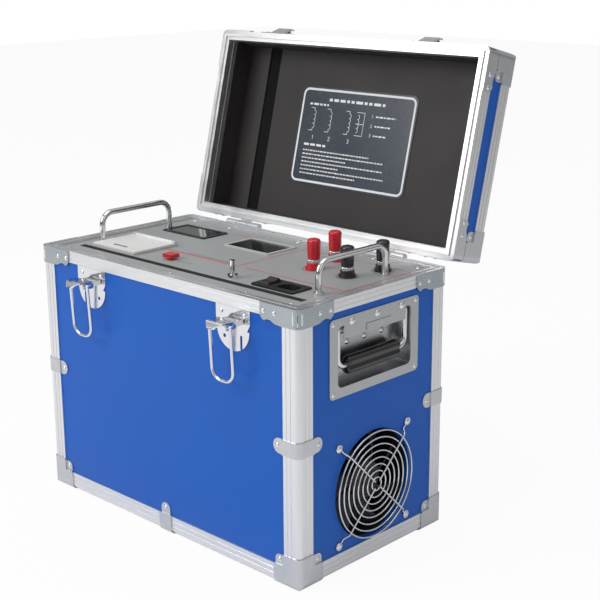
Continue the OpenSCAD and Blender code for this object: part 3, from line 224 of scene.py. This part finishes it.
reach = np.linspace(-6, 6, 13)
across, along = np.meshgrid(reach, reach, indexing="ij")
floor = grid_object("floor", [(np.stack([across, along, across * 0], -1), False, False)], floor_mat)
print("floor and lamps ready")

# %% [markdown]
# ## Finishes
# One recipe serves every finish: a broad noise drifts between two close colours, a fine noise
# moves the roughness and the bump, and sparse worn marks pull the colour towards a pale grey.
# Stretching the fine noise along one axis turns it into the drawn grain of an extrusion. Values
# that are the same everywhere sit on the shader's own sockets, because an exported model keeps
# those. The grain of the lid is turned with the lid.

# %% The recipe for a finish
LID_TURN = math.radians(104)
DUST_GREY, DUST_TOP = (0.30, 0.29, 0.27), 0.06


def layer(tree, under, colour, amount):
    """Lays a colour over another as far as an amount between 0 and 1 says."""
    over = colour_mix(tree, (0.5, 0.5, 0.5), colour)
    link(tree, amount, over.inputs[0])
    link(tree, under, over.inputs[MIX_FIRST])
    return over.outputs[MIX_RESULT]


def finish(name, colour, other, rough=(0.35, 0.45), metal=0.0, patch=25, grain=1500, bump=0.06,
           stretch=(1, 1, 1), turn=0.0, scratch=0.0, coat=0.0, dust=0.0, shine=0.5):
    """A material whose colour is the first colour plus patch noise times the step to the
    second, whose roughness runs between two values with the sum of both noises, and whose bump
    follows the fine grain. Dust fades out at DUST_TOP metres above the floor."""
    mat = bpy.data.materials.new(name)
    mat.use_nodes = True
    tree = mat.node_tree
    skin = tree.nodes["Principled BSDF"]
    for socket, value in (("Metallic", metal), ("Specular IOR Level", shine),
                          ("Coat Weight", coat), ("Coat Roughness", 0.08)):
        skin.inputs[socket].default_value = value
    place = node(tree, "TexCoord")
    turned = node(tree, "Mapping", {"Rotation": (turn, 0, 0)})
    drawn = node(tree, "Mapping", {"Scale": stretch})
    broad = node(tree, "TexNoise", {"Scale": patch, "Detail": 4})
    fine = node(tree, "TexNoise", {"Scale": grain, "Detail": 2})
    tone = colour_mix(tree, colour, other)
    link(tree, place.outputs["Object"], turned.inputs["Vector"])
    link(tree, turned.outputs["Vector"], drawn.inputs["Vector"])
    link(tree, turned.outputs["Vector"], broad.inputs["Vector"])
    link(tree, drawn.outputs["Vector"], fine.inputs["Vector"])
    link(tree, broad.outputs["Fac"], tone.inputs[0])
    colour_out = tone.outputs[MIX_RESULT]
    if scratch:
        marks = node(tree, "TexNoise", {"Scale": 60, "Detail": 8, "Roughness": 0.75,
                                        "Distortion": 1.5})
        keep = node(tree, "MapRange", {"From Min": 0.66, "From Max": 0.72, "To Max": scratch})
        link(tree, turned.outputs["Vector"], marks.inputs["Vector"])
        link(tree, marks.outputs["Fac"], keep.inputs["Value"])
        worn = [min(1, c * 0.5 + 0.4) for c in colour]
        colour_out = layer(tree, colour_out, worn, keep.outputs["Result"])
    if dust:
        height = node(tree, "SeparateXYZ")
        low = node(tree, "MapRange", {"From Max": DUST_TOP, "To Min": dust, "To Max": 0})
        link(tree, place.outputs["Object"], height.inputs[0])
        link(tree, height.outputs["Z"], low.inputs["Value"])
        colour_out = layer(tree, colour_out, DUST_GREY, low.outputs["Result"])
    link(tree, colour_out, skin.inputs["Base Color"])
    both = node(tree, "Math")
    both.operation = "ADD"
    spread = node(tree, "MapRange", {"From Min": 0.7, "From Max": 1.3, "To Min": rough[0],
                                     "To Max": rough[1]})
    link(tree, broad.outputs["Fac"], both.inputs[0])
    link(tree, fine.outputs["Fac"], both.inputs[1])
    link(tree, both.outputs[0], spread.inputs["Value"])
    link(tree, spread.outputs["Result"], skin.inputs["Roughness"])
    relief = node(tree, "Bump", {"Strength": bump, "Distance": 0.0004})
    link(tree, fine.outputs["Fac"], relief.inputs["Height"])
    link(tree, relief.outputs["Normal"], skin.inputs["Normal"])
    return mat


# %% [markdown]
# The case itself needs three families: the blue laminate, which is smooth with a faint orange
# peel; satin anodised aluminium, drawn along each bar; and plated steel, cooler and cloudier
# than aluminium. The same recipe makes all three, with other numbers.

# %% Finishes of the case
blue = finish("blue_laminate", (0.002, 0.100, 0.50), (0.003, 0.118, 0.55), (0.30, 0.42), patch=9,
              grain=1100, bump=0.05, scratch=0.04, dust=0.05, shine=0.3)
dark_sheet = finish("dark_laminate", (0.020, 0.020, 0.022), (0.032, 0.032, 0.034), (0.5, 0.65))
alu_up = finish("aluminium_posts", (0.83, 0.84, 0.85), (0.89, 0.89, 0.90), (0.30, 0.44), 1.0,
                grain=900, stretch=(1, 1, 0.02), bump=0.05, scratch=0.10)
alu_long = finish("aluminium_rails", (0.83, 0.84, 0.85), (0.89, 0.89, 0.90), (0.30, 0.44), 1.0,
                  grain=900, stretch=(0.02, 0.05, 1), bump=0.05, scratch=0.10)
alu_lid = finish("aluminium_lid", (0.83, 0.84, 0.85), (0.89, 0.89, 0.90), (0.30, 0.44), 1.0,
                 grain=900, stretch=(0.02, 0.05, 1), turn=LID_TURN, bump=0.05, scratch=0.10)
zinc = finish("zinc_steel", (0.60, 0.62, 0.64), (0.72, 0.73, 0.74), (0.30, 0.48), 1.0, patch=55,
              grain=700, bump=0.08, scratch=0.15)
dark_zinc = finish("dark_zinc_steel", (0.36, 0.41, 0.44), (0.52, 0.56, 0.58), (0.22, 0.40), 1.0,
                   patch=45, grain=700, bump=0.08, scratch=0.2)
dish_zinc = finish("dish_steel", (0.44, 0.46, 0.47), (0.56, 0.57, 0.58), (0.24, 0.42), 1.0,
                   patch=35, grain=800, bump=0.06, scratch=0.15)
chrome = finish("bright_chrome", (0.74, 0.75, 0.77), (0.80, 0.81, 0.82), (0.07, 0.18), 1.0,
                patch=40, grain=600, bump=0.02, scratch=0.08)
rivet_alu = finish("rivet_heads", (0.84, 0.85, 0.86), (0.90, 0.90, 0.91), (0.18, 0.30), 1.0,
                   patch=200, grain=1600, bump=0.03)
grey_paint = finish("panel_paint", (0.33, 0.345, 0.345), (0.37, 0.385, 0.385), (0.42, 0.55),
                    patch=12, grain=2600, bump=0.10, scratch=0.04)
soft_black = finish("black_plastic", (0.012, 0.012, 0.013), (0.022, 0.022, 0.023), (0.35, 0.5),
                    patch=60, grain=1800, bump=0.10, scratch=0.06)
gloss_black = finish("gloss_black", (0.010, 0.010, 0.011), (0.016, 0.016, 0.017), (0.16, 0.26),
                     patch=80, grain=900, bump=0.03, coat=0.4)
gloss_red = finish("gloss_red", (0.56, 0.008, 0.016), (0.66, 0.014, 0.022), (0.20, 0.30),
                   patch=80, grain=900, bump=0.03, coat=0.3)
ivory = finish("white_moulding", (0.78, 0.78, 0.76), (0.84, 0.84, 0.82), (0.30, 0.42), patch=30,
               grain=1600, bump=0.05, scratch=0.03)
light_grey = finish("grey_moulding", (0.52, 0.53, 0.52), (0.60, 0.61, 0.60), (0.4, 0.5),
                    patch=30, grain=1600, bump=0.06)
window = finish("window_pane", (0.012, 0.020, 0.020), (0.024, 0.034, 0.032), (0.05, 0.10),
                patch=30, grain=500, bump=0.01, coat=0.8)
# Near-black strip for the gasket node: painted shadow of the gap along the panel's front edge.
front_gap_shadow = finish("front_gap_painted_shadow", (0.006, 0.006, 0.006), (0.012, 0.012, 0.012), (0.75, 0.9),
              grain=2200, bump=0.4)
copper = finish("varnished_copper", (0.42, 0.16, 0.05), (0.55, 0.24, 0.08), (0.2, 0.35), 0.8,
                grain=500, stretch=(1, 1, 0.1), bump=0.5)
green = finish("circuit_green", (0.01, 0.12, 0.04), (0.02, 0.18, 0.07), (0.25, 0.4), grain=700)
paper_white = finish("plain_paper", (0.80, 0.80, 0.78), (0.86, 0.86, 0.84), (0.8, 0.95),
                     grain=2500, bump=0.2)
charcoal = finish("lid_lining", (0.022, 0.019, 0.018), (0.034, 0.030, 0.028), (0.50, 0.68),
                  patch=18, grain=1400, bump=0.16, turn=LID_TURN, scratch=0.10)
navy = finish("label_plate", (0.028, 0.040, 0.060), (0.040, 0.052, 0.074), (0.22, 0.32),
              patch=20, grain=1500, bump=0.02, turn=LID_TURN, coat=0.3)
dressing = {
    blue: "case_front_panel case_back_panel case_left_panel case_right_panel lid_top_panel "
          "lid_side_panels",
    dark_sheet: "case_bottom_panel",
    alu_up: "case_corner_posts panel_support",
    alu_long: "case_bottom_rails case_rim",
    alu_lid: "lid_edge_rails lid_rim",
    zinc: "bottom_corner_caps edge_clamps lid_corner_fittings hinge_case_leaves hinge_lid_leaves",
    dark_zinc: "rim_corner_braces",
    dish_zinc: "handle_dish_left handle_dish_right",
    chrome: "latch_plates latch_lever_left latch_lever_right latch_bail_left latch_bail_right "
            "side_bail_left side_bail_right panel_handles lid_keepers terminal_studs fan_guard",
    rivet_alu: "case_rivets lid_rivets panel_screws",
    grey_paint: "control_panel",
    soft_black: "side_grip_left side_grip_right fan_housing fan_rotor power_inlet display_frame "
                "power_rocker",
    gloss_black: "post_bases_black post_cap_black_front post_cap_black_back",
    gloss_red: "post_bases_red post_cap_red_front post_cap_red_back reset_button",
    ivory: "printer_door",
    light_grey: "printer_body meter_frame",
    window: "window_glasses",
    # the gasket node carries the painted shadow of the gap at the panel's front
    front_gap_shadow: "panel_gasket",
    copper: "test_current_transformer",
    green: "circuit_board",
    paper_white: "paper_roll",
    charcoal: "lid_lining",
    navy: "label_plate",
}
for mat, names in dressing.items():
    for name in names.split():
        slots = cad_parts[name].data.materials
        slots.clear()
        slots.append(mat)
print("dressed", sum(len(n.split()) for n in dressing.values()), "of", len(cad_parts), "nodes")

# %% [markdown]
# ## Shapes from surfaces
# Most small parts of such a case are turned, bent or moulded, and each of these has a formula.
# A turned part is a profile spun about an axis. A bent wire is a circle carried along a path
# that stays in one plane, so the plane's own normal keeps the circle from twisting. Both give
# a grid of points, with one direction round and one along.

# %% Turned and carried surfaces
MM = 0.001


def low_high(node):
    """Lowest corner, highest corner and middle of a CAD node, in metres."""
    low, high = (np.array(corner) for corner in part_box(node))
    return low, high, (low + high) / 2


def turned(profile, centre=(0, 0, 0), sides=64, lobes=0, swell=0.0):
    """A profile of (radius, height) in millimetres spun about Z: x = r cos a, y = r sin a.
    Lobes multiply the radius by 1 + swell * cos(lobes * a)."""
    r, z = np.array(profile, float).T * MM
    a = np.linspace(0, 2 * np.pi, sides, endpoint=False)
    wave = 1 + swell * np.cos(lobes * a)
    xyz = np.stack([np.outer(np.cos(a) * wave, r), np.outer(np.sin(a) * wave, r),
                    np.outer(a * 0 + 1, z)], -1)
    return xyz + np.array(centre), True, False


def circle(radius, sides=16):
    """Points of a circle in millimetres, counter-clockwise."""
    a = np.linspace(0, 2 * np.pi, sides, endpoint=False)
    return np.stack([radius * np.cos(a), radius * np.sin(a)], -1)


def carried(path, section, across, scale=None, closed=False):
    """A section in millimetres carried along a path in metres that lies in the plane with the
    normal across. Point = path + s0 * side + s1 * across, with side = tangent x across."""
    across = np.array(across, float)
    if closed:
        step = np.roll(path, -1, 0) - np.roll(path, 1, 0)
    else:
        step = np.gradient(path, axis=0)
    tangent = step / np.linalg.norm(step, axis=1, keepdims=True)
    side = np.cross(tangent, across)
    grow = np.ones(len(path)) if scale is None else scale
    ring = section[None] * MM * grow[:, None, None]
    xyz = path[:, None] + ring[..., :1] * side[:, None] + ring[..., 1:] * across
    return xyz, closed, True


def round_ends(count, share):
    """Scale along a path of evenly spaced points, falling to a fiftieth as a quarter circle over
    a share of its length at each end."""
    t = np.linspace(0, 1, count)
    edge = np.clip(np.minimum(t, 1 - t) / share, 0, 1)
    return np.sqrt(np.clip(1 - (1 - edge) ** 2, 0.0004, 1))


print("surface helpers ready")

# %% [markdown]
# ## Fan guard
# The guard is welded from bright wire: eight rings, with four radial wires laid over them. Past
# the outer ring each radial wire bends back to the panel and curls into an eye for its screw.
# The bend is a smooth step, 3t^2 - 2t^3, from the height of the rings down to the panel.

# %% Fan guard
low, high, mid = low_high("fan_guard")
fan_y, fan_z = mid[1], mid[2]
wire_r = 0.9
rings = 8
ring_step = 57 / rings
eye_r = 3.6
eye_at = (high[1] - fan_y) - 5 * MM
front = high[0] - wire_r * MM
flat = low[0] + wire_r * MM
around = np.linspace(0, 2 * np.pi, 96, endpoint=False)


def on_side(x, u, v):
    """Points on the right side at depth x, u to the back and v up from the fan's axis."""
    return np.stack([x + 0 * u, fan_y + u, fan_z + v], -1)


guard = []
for number in range(1, rings + 1):
    r = number * ring_step * MM
    ring = on_side(front - 1.7 * wire_r * MM, r * np.cos(around), r * np.sin(around))
    guard.append(carried(ring, circle(wire_r, 12), (1, 0, 0), closed=True))
bend_start, bend_length = 59, 8
reach = np.linspace(ring_step * 0.6, eye_at * math.sqrt(2) / MM - eye_r, 60)
fall = np.clip((reach - bend_start) / bend_length, 0, 1)
height = front - (front - flat) * (3 * fall ** 2 - 2 * fall ** 3)
screws = []
for turn in np.radians([45, 135, 225, 315]):
    away = np.array([math.cos(turn), math.sin(turn)])
    path = on_side(height, reach * MM * away[0], reach * MM * away[1])
    guard.append(carried(path, circle(wire_r, 12), (0, away[1], -away[0]), round_ends(60, 0.02)))
    eye = eye_at * math.sqrt(2) * away
    loop = on_side(flat, eye[0] + eye_r * MM * np.cos(around[::3]),
                   eye[1] + eye_r * MM * np.sin(around[::3]))
    guard.append(carried(loop, circle(wire_r, 12), (1, 0, 0), closed=True))
    screws.append((flat, fan_y + eye[0], fan_z + eye[1]))
guard_wires = grid_object("bent_wire_guard", guard, chrome)
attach(guard_wires, "case")
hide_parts("fan_guard")
print("guard", len(guard), "wires")

# %% [markdown]
# A pan head is a low dome with a rolled edge, and its cross recess is pressed in after the head
# is formed. The head below is a disc of points whose height is the dome less a recess: the
# recess is deep where a point lies within either arm of the cross.

# %% Cross-head screws
def screw_head(radius, height, arm=0.26, deep=0.6, rings=18, sides=72):
    """Grid (angle, radius) of a pan head about Z on z = 0. Dome: h * sqrt(1 - 0.85 t^2); the
    cross is cut where |x| or |y| is under half of arm * radius, inside 0.62 of the radius."""
    t = np.concatenate([np.linspace(0.001, 1, rings), [1.0]])
    a = np.linspace(0, 2 * np.pi, sides, endpoint=False)
    x, y = np.outer(np.cos(a), t), np.outer(np.sin(a), t)
    dome = np.sqrt(1 - 0.85 * t[None] ** 2) * np.ones_like(x)
    narrow = np.minimum(np.abs(x), np.abs(y))
    inside = 1 / (1 + np.exp((narrow - arm * 0.5) * 60)) / (1 + np.exp((t[None] - 0.62) * 60))
    z = (dome - deep * inside) * height
    z[:, -1] = 0
    points = np.stack([x[:, ::-1] * radius, y[:, ::-1] * radius, z[:, ::-1]], -1)
    return points * MM


head = screw_head(3.3, 1.9)
fan_screws = grid_object("fan_screws", [
    (np.stack([x + head[..., 2], y + head[..., 0], z + head[..., 1]], -1), True, False)
    for x, y, z in screws], rivet_alu)
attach(fan_screws, "case")
head = screw_head(3.0, 1.75)
panel_top = low_high("panel_screws")[0][2]
SCREW_COLUMNS, SCREW_ROWS = (-175, -113.4, 0, 113.4, 175), (-96, 96)
spots = [(x * MM, y * MM) for x in SCREW_COLUMNS for y in SCREW_ROWS]
panel_heads = grid_object("panel_cross_screws", [
    (head + np.array([x, y, panel_top]), True, False) for x, y in spots], rivet_alu)
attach(panel_heads, "case")
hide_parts("panel_screws")
print("screws", len(screws) + len(spots))

# %% [markdown]
# ## Fan rotor
# A moulded fan blade is twisted: steep at the hub, flatter at the tip, so that all of it pushes
# the air at the same speed. Each blade is a thin ellipse, arched a little and carried outward,
# its pitch falling from 52 to 28 degrees and its middle line swept forward.

# %% Fan rotor
fan_mid_x = low_high("fan_rotor")[2][0]
hub_r, tip_r = 21.5, 54.0
half_depth, blades = 8.6, 7
arch, sweep = 1.6, 0.35
span = np.linspace(0, 1, 14)[:, None]
round_blade = np.linspace(0, 2 * np.pi, 28, endpoint=False)[None]
radius = hub_r - 1 + span * (tip_r - hub_r + 1)
pitch = np.radians(52 - 24 * span)
half_chord = 13 + 4 * span
thick = 0.9 * (1 - 0.35 * span) * np.where(span > 0.99, 0.1, 1)
along = half_chord * np.cos(round_blade)
up = thick * np.sin(round_blade) + arch * (1 - np.cos(round_blade) ** 2)
turn_by = (along * np.cos(pitch) - up * np.sin(pitch)) / radius + sweep * span
depth = along * np.sin(pitch) + up * np.cos(pitch)
rotor = []
for blade in range(blades):
    a = turn_by + blade * 2 * np.pi / blades
    xyz = np.stack([fan_mid_x + np.clip(depth, -half_depth, half_depth) * MM,
                    fan_y + radius * np.cos(a) * MM, fan_z + radius * np.sin(a) * MM], -1)
    rotor.append((xyz[:, ::-1], False, True))
hub = turned([(0.1, -8.6), (21, -8.6), (21.7, -8.0), (21.7, 7.2), (21.0, 8.2), (19.6, 8.6),
              (12, 8.6), (11.6, 8.3), (0.1, 8.3)])[0]
rotor.append((np.stack([fan_mid_x + hub[..., 2], fan_y + hub[..., 0], fan_z + hub[..., 1]], -1),
              True, False))
fan_blades = grid_object("twisted_fan_blades", rotor, soft_black)
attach(fan_blades, "fan")
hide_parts("fan_rotor")
print("rotor pieces", len(rotor))

# %% [markdown]
# ## Terminals
# The caps of the binding posts are moulded in a hard gloss plastic. They widen a little towards
# the top, carry shallow flats for the fingers and end in a rounded crown. Under each one a
# nickel collar shows, cut all round with fine teeth.

# %% Terminal caps and collars
cap_profile = [(3.3, 0.2), (6.2, 0.0), (6.6, 0.5), (6.9, 6.0), (7.15, 14.0), (7.2, 18.5), (7.0, 19.6),
               (6.5, 20.6), (5.6, 21.4), (4.4, 21.8), (3.0, 21.9), (2.2, 21.5), (0.1, 21.4)]
collar_profile = [(3.2, -4.2), (5.9, -4.2), (6.1, -3.6), (5.5, -3.3), (5.5, -2.9), (6.1, -2.6),
                  (6.1, -1.0), (5.7, -0.5), (3.2, -0.5)]
collars = []
for name in ("red_front", "red_back", "black_front", "black_back"):
    low, _, mid = low_high("post_cap_" + name)
    seat = (mid[0], mid[1], low[2])
    crown = grid_object("crowned_cap_" + name, [turned(cap_profile, seat, 96, lobes=6, swell=0.018)],
                        gloss_red if "red" in name else gloss_black)
    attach(crown, "cap_" + name)
    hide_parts("post_cap_" + name)
    collars.append(turned(collar_profile, seat, 120, lobes=20, swell=0.035))
toothed_collars = grid_object("toothed_collars", collars, chrome)
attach(toothed_collars, "case")
print("caps and collars", 2 * len(collars))

# %% [markdown]
# ## Side grips
# The grip is moulded round the chrome bar in two lobes, so that four fingers find a hold. Its
# section is a peanut, r = 1 - 0.45 cos 2t, stretched to the width and height of the grip. The
# ends close as quarter circles.

# %% Side grips
t = np.linspace(0, 2 * np.pi, 48, endpoint=False)
lobe = 1 - 0.45 * np.cos(2 * t)
half_width, half_height = 6.4, 9.4
peanut = np.stack([lobe * np.cos(t), lobe * np.sin(t)], -1)
peanut *= np.array([half_width, half_height]) / np.abs(peanut).max(0)
for side_name in ("left", "right"):
    low, high, mid = low_high("side_grip_" + side_name)
    line = np.linspace(low[1], high[1], 60)
    path = np.stack([line * 0 + mid[0], line, line * 0 + mid[2]], -1)
    grip = grid_object("lobed_grip_" + side_name,
                       [carried(path, peanut, (0, 0, 1), round_ends(60, 0.05))], gloss_black)
    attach(grip, "side_handle_" + side_name)
    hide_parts("side_grip_" + side_name)
print("grips ready")

# %% [markdown]
# ## Printed lines
# Screen printing is a film of ink, so each line here is a ribbon less than a tenth of a
# millimetre off its plate. The red lines of the panel split it into the fields of the printer,
# the windows and the terminals.

# %% Ribbons of ink
def ribbon(points, width, lift, closed=False):
    """A flat strip in the plane z = lift: its two edges lie half a width to either side of the
    points, square to the mean of the two neighbouring directions. All in millimetres."""
    path = np.array(points, float)
    if closed:
        ahead = np.roll(path, -1, 0) - path
    else:
        ahead = np.diff(path, axis=0, append=2 * path[-1:] - path[-2:-1])
    ahead /= np.linalg.norm(ahead, axis=1, keepdims=True)
    behind = np.roll(ahead, 1, 0)
    if not closed:
        behind[0] = ahead[0]
    normal = ahead + behind
    normal = np.stack([-normal[:, 1], normal[:, 0]], -1)
    normal /= (normal * normal).sum(1, keepdims=True) / 2
    edges = np.stack([path - normal * width / 2, path + normal * width / 2], 1)
    flat = np.concatenate([edges, np.full(edges.shape[:2] + (1,), lift)], -1) * MM
    return flat, closed, False


def dashes(start, length, size, lift, seed):
    """A row of short bars of uneven length, from a start point to the right."""
    rng = np.random.default_rng(seed)
    x, bars = 0.0, []
    while x < length:
        long = rng.uniform(1.2, 3.4) * size
        first, last = start[0] + x, start[0] + min(x + long, length)
        bars.append(ribbon([(first, start[1]), (last, start[1])], size, lift))
        x += long + 0.8 * size
    return bars


ink = 287.05
red_ink = finish("red_ink", (0.62, 0.012, 0.020), (0.72, 0.02, 0.03), (0.4, 0.5), grain=2500)
dark_ink = finish("dark_ink", (0.03, 0.03, 0.035), (0.05, 0.05, 0.055), (0.4, 0.5), grain=2500)
white_ink = finish("white_ink", (0.82, 0.83, 0.84), (0.88, 0.88, 0.89), (0.35, 0.45), grain=2500,
                   turn=LID_TURN)
window_line = [(-181, -24.5), (26, -24.5)]
terminal_frame = [(28, -24.5), (28, 78), (180, 78), (180, -24.5), (140, -24.5), (40, -24.5)]
back_line = [(-86, 79), (20, 79)]
TERMINALS, terminal_ring = ((96.5, 20.5), (87, 64), (143.5, 20.5), (154, 64)), 11.5
red_ribbons = [ribbon(window_line, 2.2, ink), ribbon(terminal_frame, 1.2, ink),
               ribbon(back_line, 1.2, ink)]
red_lines = grid_object("red_panel_lines", red_ribbons, red_ink)
notes = dashes((-52, -20), 60, 1.4, ink, 3) + dashes((-36, -52), 22, 1.3, ink, 5)
for spot in TERMINALS:
    notes.append(ribbon(circle(terminal_ring, 40) + spot, 0.7, ink, True))
dark_notes = grid_object("dark_panel_marks", notes, dark_ink)
for piece, name in ((red_lines, "red_plastic"), (dark_notes, "black_plastic")):
    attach(piece, "case")
print("panel ribbons", len(red_ribbons) + len(notes))

# %% [markdown]
# ## Label in the lid
# The plate in the lid is printed white on dark blue: a border with round corners, three wiring
# figures numbered 1, 2 and 3, and rows of fine print, which stay plain bars here. The pieces are
# drawn on the closed lid and swung open with it about the hinge line. With y and z measured
# from there and a = -104 degrees, y' = y cos a - z sin a and z' = y sin a + z cos a.

# %% Label print
hinge_y, hinge_z = 118.6 * MM, 288.9 * MM


def swung(surface):
    """A surface of the closed lid, turned open about the hinge line."""
    xyz, closed_u, closed_v = surface
    y, z = xyz[..., 1] - hinge_y, xyz[..., 2] - hinge_z
    c, s = math.cos(-LID_TURN), math.sin(-LID_TURN)
    opened = np.stack([xyz[..., 0], hinge_y + y * c - z * s, hinge_z + y * s + z * c], -1)
    return opened, closed_u, closed_v


def on_lining(surface):
    """A drawing seen from below: its top goes to the front of the closed lid, which mirrors it
    in y and turns its faces downward."""
    xyz, closed_u, closed_v = surface
    return xyz * (1, -1, 1), closed_u, closed_v


def round_path(w, d, r, steps=10):
    """Rectangle about the origin with round corners, counter-clockwise, in millimetres."""
    turn = np.linspace(0, np.pi / 2, steps)
    parts = [np.stack([sx * (w / 2 - r) + r * np.cos(turn + k * np.pi / 2),
                       sy * (d / 2 - r) + r * np.sin(turn + k * np.pi / 2)], -1)
             for k, (sx, sy) in enumerate(((1, 1), (-1, 1), (-1, -1), (1, -1)))]
    return np.concatenate(parts)


def coil(x, y, turns, size):
    """A winding symbol: half circles in a row, downward from a place."""
    t = np.linspace(0, turns * np.pi, turns * 10)
    step = np.floor(t / np.pi - 1e-9)
    down = 2 * step + 1 - np.cos(t - step * np.pi)
    return np.stack([x + size * np.abs(np.sin(t)), y - size * down], -1)


DIGITS = {
    "1": [[(-0.5, 0.9), (0, 1.3), (0, -1.3)]],
    "2": [[(-0.7, 0.8), (-0.3, 1.3), (0.4, 1.3), (0.7, 0.7), (0.5, 0.1), (-0.7, -1.3), (0.8, -1.3)]],
    "3": [[(-0.7, 1.1), (0, 1.3), (0.7, 0.8), (0.4, 0.1), (-0.1, 0.05)],
          [(-0.1, 0.05), (0.5, -0.05), (0.7, -0.8), (0.1, -1.3), (-0.7, -1.1)]],
}
print_z = 330.62
label_print = [ribbon(round_path(171, 110, 7), 2.6, print_z, True)]


def digit(name, x, y, size):
    """Strokes of a figure about a place."""
    return [ribbon([(x + size * u, y + size * v) for u, v in stroke], 0.38 * size, print_z)
            for stroke in DIGITS[name]]


def wire(points):
    """A fine line of a wiring figure."""
    return ribbon(points, 0.6, print_z)


for number, x in (("1", -62), ("2", -36), ("3", -6)):
    label_print += digit(number, x, -2, 1.7)
    label_print.append(wire(coil(x - 3, 30, 4, 2.6)))
    label_print.append(wire([(x - 9, 33), (x - 3, 33), (x - 3, 30)]))
    label_print.append(wire([(x - 3, 9.2), (x - 3, 6), (x - 9, 6)]))
label_print += [wire([(2, y), (14, y)]) for y in (33, 19.5, 6)]
label_print += [wire([(14, 33), (14, 6)]), wire(coil(4, 30, 4, 2.6))]
for number, y in (("1", 30), ("2", 19), ("3", 8)):
    label_print += digit(number, 26, y, 1.3)
    label_print += dashes((31, y), 34 - 5 * int(number), 1.7, print_z, int(number))
text_left, text_top, row_step = -74, -18, 4.6
label_print += dashes((-44, 44), 86, 3.2, print_z, 11)
label_print += dashes((text_left, 37.5), 30, 2.4, print_z, 12)
label_print += dashes((text_left, -11), 36, 2.6, print_z, 13)
for row, length in enumerate((104, 126, 70, 128, 60, 130, 88)):
    label_print += dashes((text_left, text_top - row_step * row), length, 1.5, print_z, 20 + row)
white_print = grid_object("white_label_print", [swung(on_lining(s)) for s in label_print], white_ink)
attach(white_print, "lid")
print("label ribbons", len(label_print))

# %% [markdown]
# ## Lining skirt
# Between the lid's rim and the moulded lining a band of the same dark sheet covers the panels.
# It is one closed ribbon that stands upright: a rectangle with round corners, drawn in by up to
# a tenth of a millimetre where its waves are, because thin sheet never lies quite straight.

# %% Lining skirt
base = round_path(381.4, 205.4, 2.5, 24)
rise = np.linspace(305.6, 316.4, 8)
waviness = 0.0003
wave = 1 - waviness * (1 + np.sin(np.arange(len(base)) * 0.9))
skirt = np.stack([np.concatenate([base * wave[:, None], np.full((len(base), 1), z)], 1)
                  for z in rise], 1)
lining_skirt = grid_object("lining_skirt", [swung((skirt[:, ::-1] * MM, True, False))], charcoal)
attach(lining_skirt, "lid")
print("skirt", skirt.shape)

# %% [markdown]
# ## Printer cover
# The cover of the printer is a thin white moulding with a rolled edge, and its paper comes out
# of a slot near the front. The rolled edge is a thin bar with a round section, carried round the
# outline of the cover up to the axis of its hinge. A thinner black bar traced round the slot is
# painted shade of the slit.

# %% Rolled edge and slot of the printer cover
low, high, mid = low_high("printer_door")
lip_r, lip_drop, behind_axis = 0.45, 0.28, 1.8
cover_top, slot_top = 290.8, 290.9
cover_w = (high[0] - low[0]) / MM - 2 * lip_r
cover_d = (high[1] - low[1]) / MM - 2 * lip_r - behind_axis
centre = np.array([mid[0], low[1] + lip_r * MM + cover_d * MM / 2, cover_top * MM])
outline = round_path(cover_w, cover_d, 2.5, 8)
path = np.concatenate([outline * MM, np.zeros((len(outline), 1))], 1) + centre
t = np.linspace(0, 2 * np.pi, 14, endpoint=False)
lip = np.stack([lip_r * np.cos(t), lip_r * np.sin(t) - lip_drop], -1)
cover_lip = grid_object("printer_cover_lip", [carried(path, lip, (0, 0, 1), closed=True)], ivory)
slot_y = low[1] / MM + 11.25
slot_path = round_path(22.2, 2.7, 1.2, 8) + np.array([mid[0] / MM, slot_y])
slot_edge = np.concatenate([slot_path * MM, np.full((len(slot_path), 1), slot_top * MM)], 1)
# Black ring round the slot: painted shade of the slit.
slit_shade_ring = grid_object("paper_slit_shade_ring", [
    carried(slot_edge, circle(0.22, 8), (0, 0, 1), closed=True)], soft_black)
for piece, name in ((cover_lip, "white_plastic"), (slit_shade_ring, "black_plastic")):
    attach(piece, "paper_door")
print("printer edge", len(outline), "points round")

# %% [markdown]
# ## Brace beads
# The pressed braces at the corners of the rim have a short rounded bead on each side of the slot
# down the corner. Such a bead is raised from the sheet by the press and runs out to nothing at
# its ends, so it catches a bright line of light. Each is a flattened round bar, sunk partly into
# the sheet.

# %% Beads beside the corner slots
BEAD_PLACES = (((194.6, 112.75), (0, 1, 0)), ((200.75, 106.6), (1, 0, 0)))
bead_section = circle(1.1, 14) * (1, 0.85)
line = np.linspace(273.5, 287.5, 30) * MM
beads = []
for sx in (-1, 1):
    for sy in (-1, 1):
        for (x, y), outward in BEAD_PLACES:
            path = np.stack([line * 0 + sx * x * MM, line * 0 + sy * y * MM, line], -1)
            beads.append(carried(path, bead_section, outward, round_ends(30, 0.16)))
brace_beads = grid_object("brace_beads", beads, chrome)
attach(brace_beads, "case")
print("beads", len(beads))

# %% [markdown]
# ## Painted shadow in the lid channel
# The lining leaves a narrow channel near the left, and a near-black sheet lies at the bottom of
# it as painted shadow, the shade cast into the channel by the lining beside it. Its surface is
# not flat: it is a sum of two slow sine waves, at most 0.25 mm high.

# %% Painted shadow strip
shadow_strip_z = 333.6
u, v = np.meshgrid(np.linspace(-155, -134, 12), np.linspace(-103, 103, 90), indexing="ij")
strip_top = shadow_strip_z + 0.15 * np.sin(v / 7 + u / 5) + 0.10 * np.sin(v / 3.1)
# near-black colour: painted shadow in the channel
shadow_strip_mat = finish("painted_channel_shadow", (0.005, 0.005, 0.005), (0.010, 0.010, 0.010), (0.85, 0.98), grain=3500,
                  bump=0.6, shine=0.2)
shadow_strip_sheet = np.stack([u, v, strip_top], -1)[:, ::-1] * MM
shadow_strip = grid_object("painted_shadow_in_channel", [swung((shadow_strip_sheet, False, False))], shadow_strip_mat)
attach(shadow_strip, "lid")
print("felt laid")
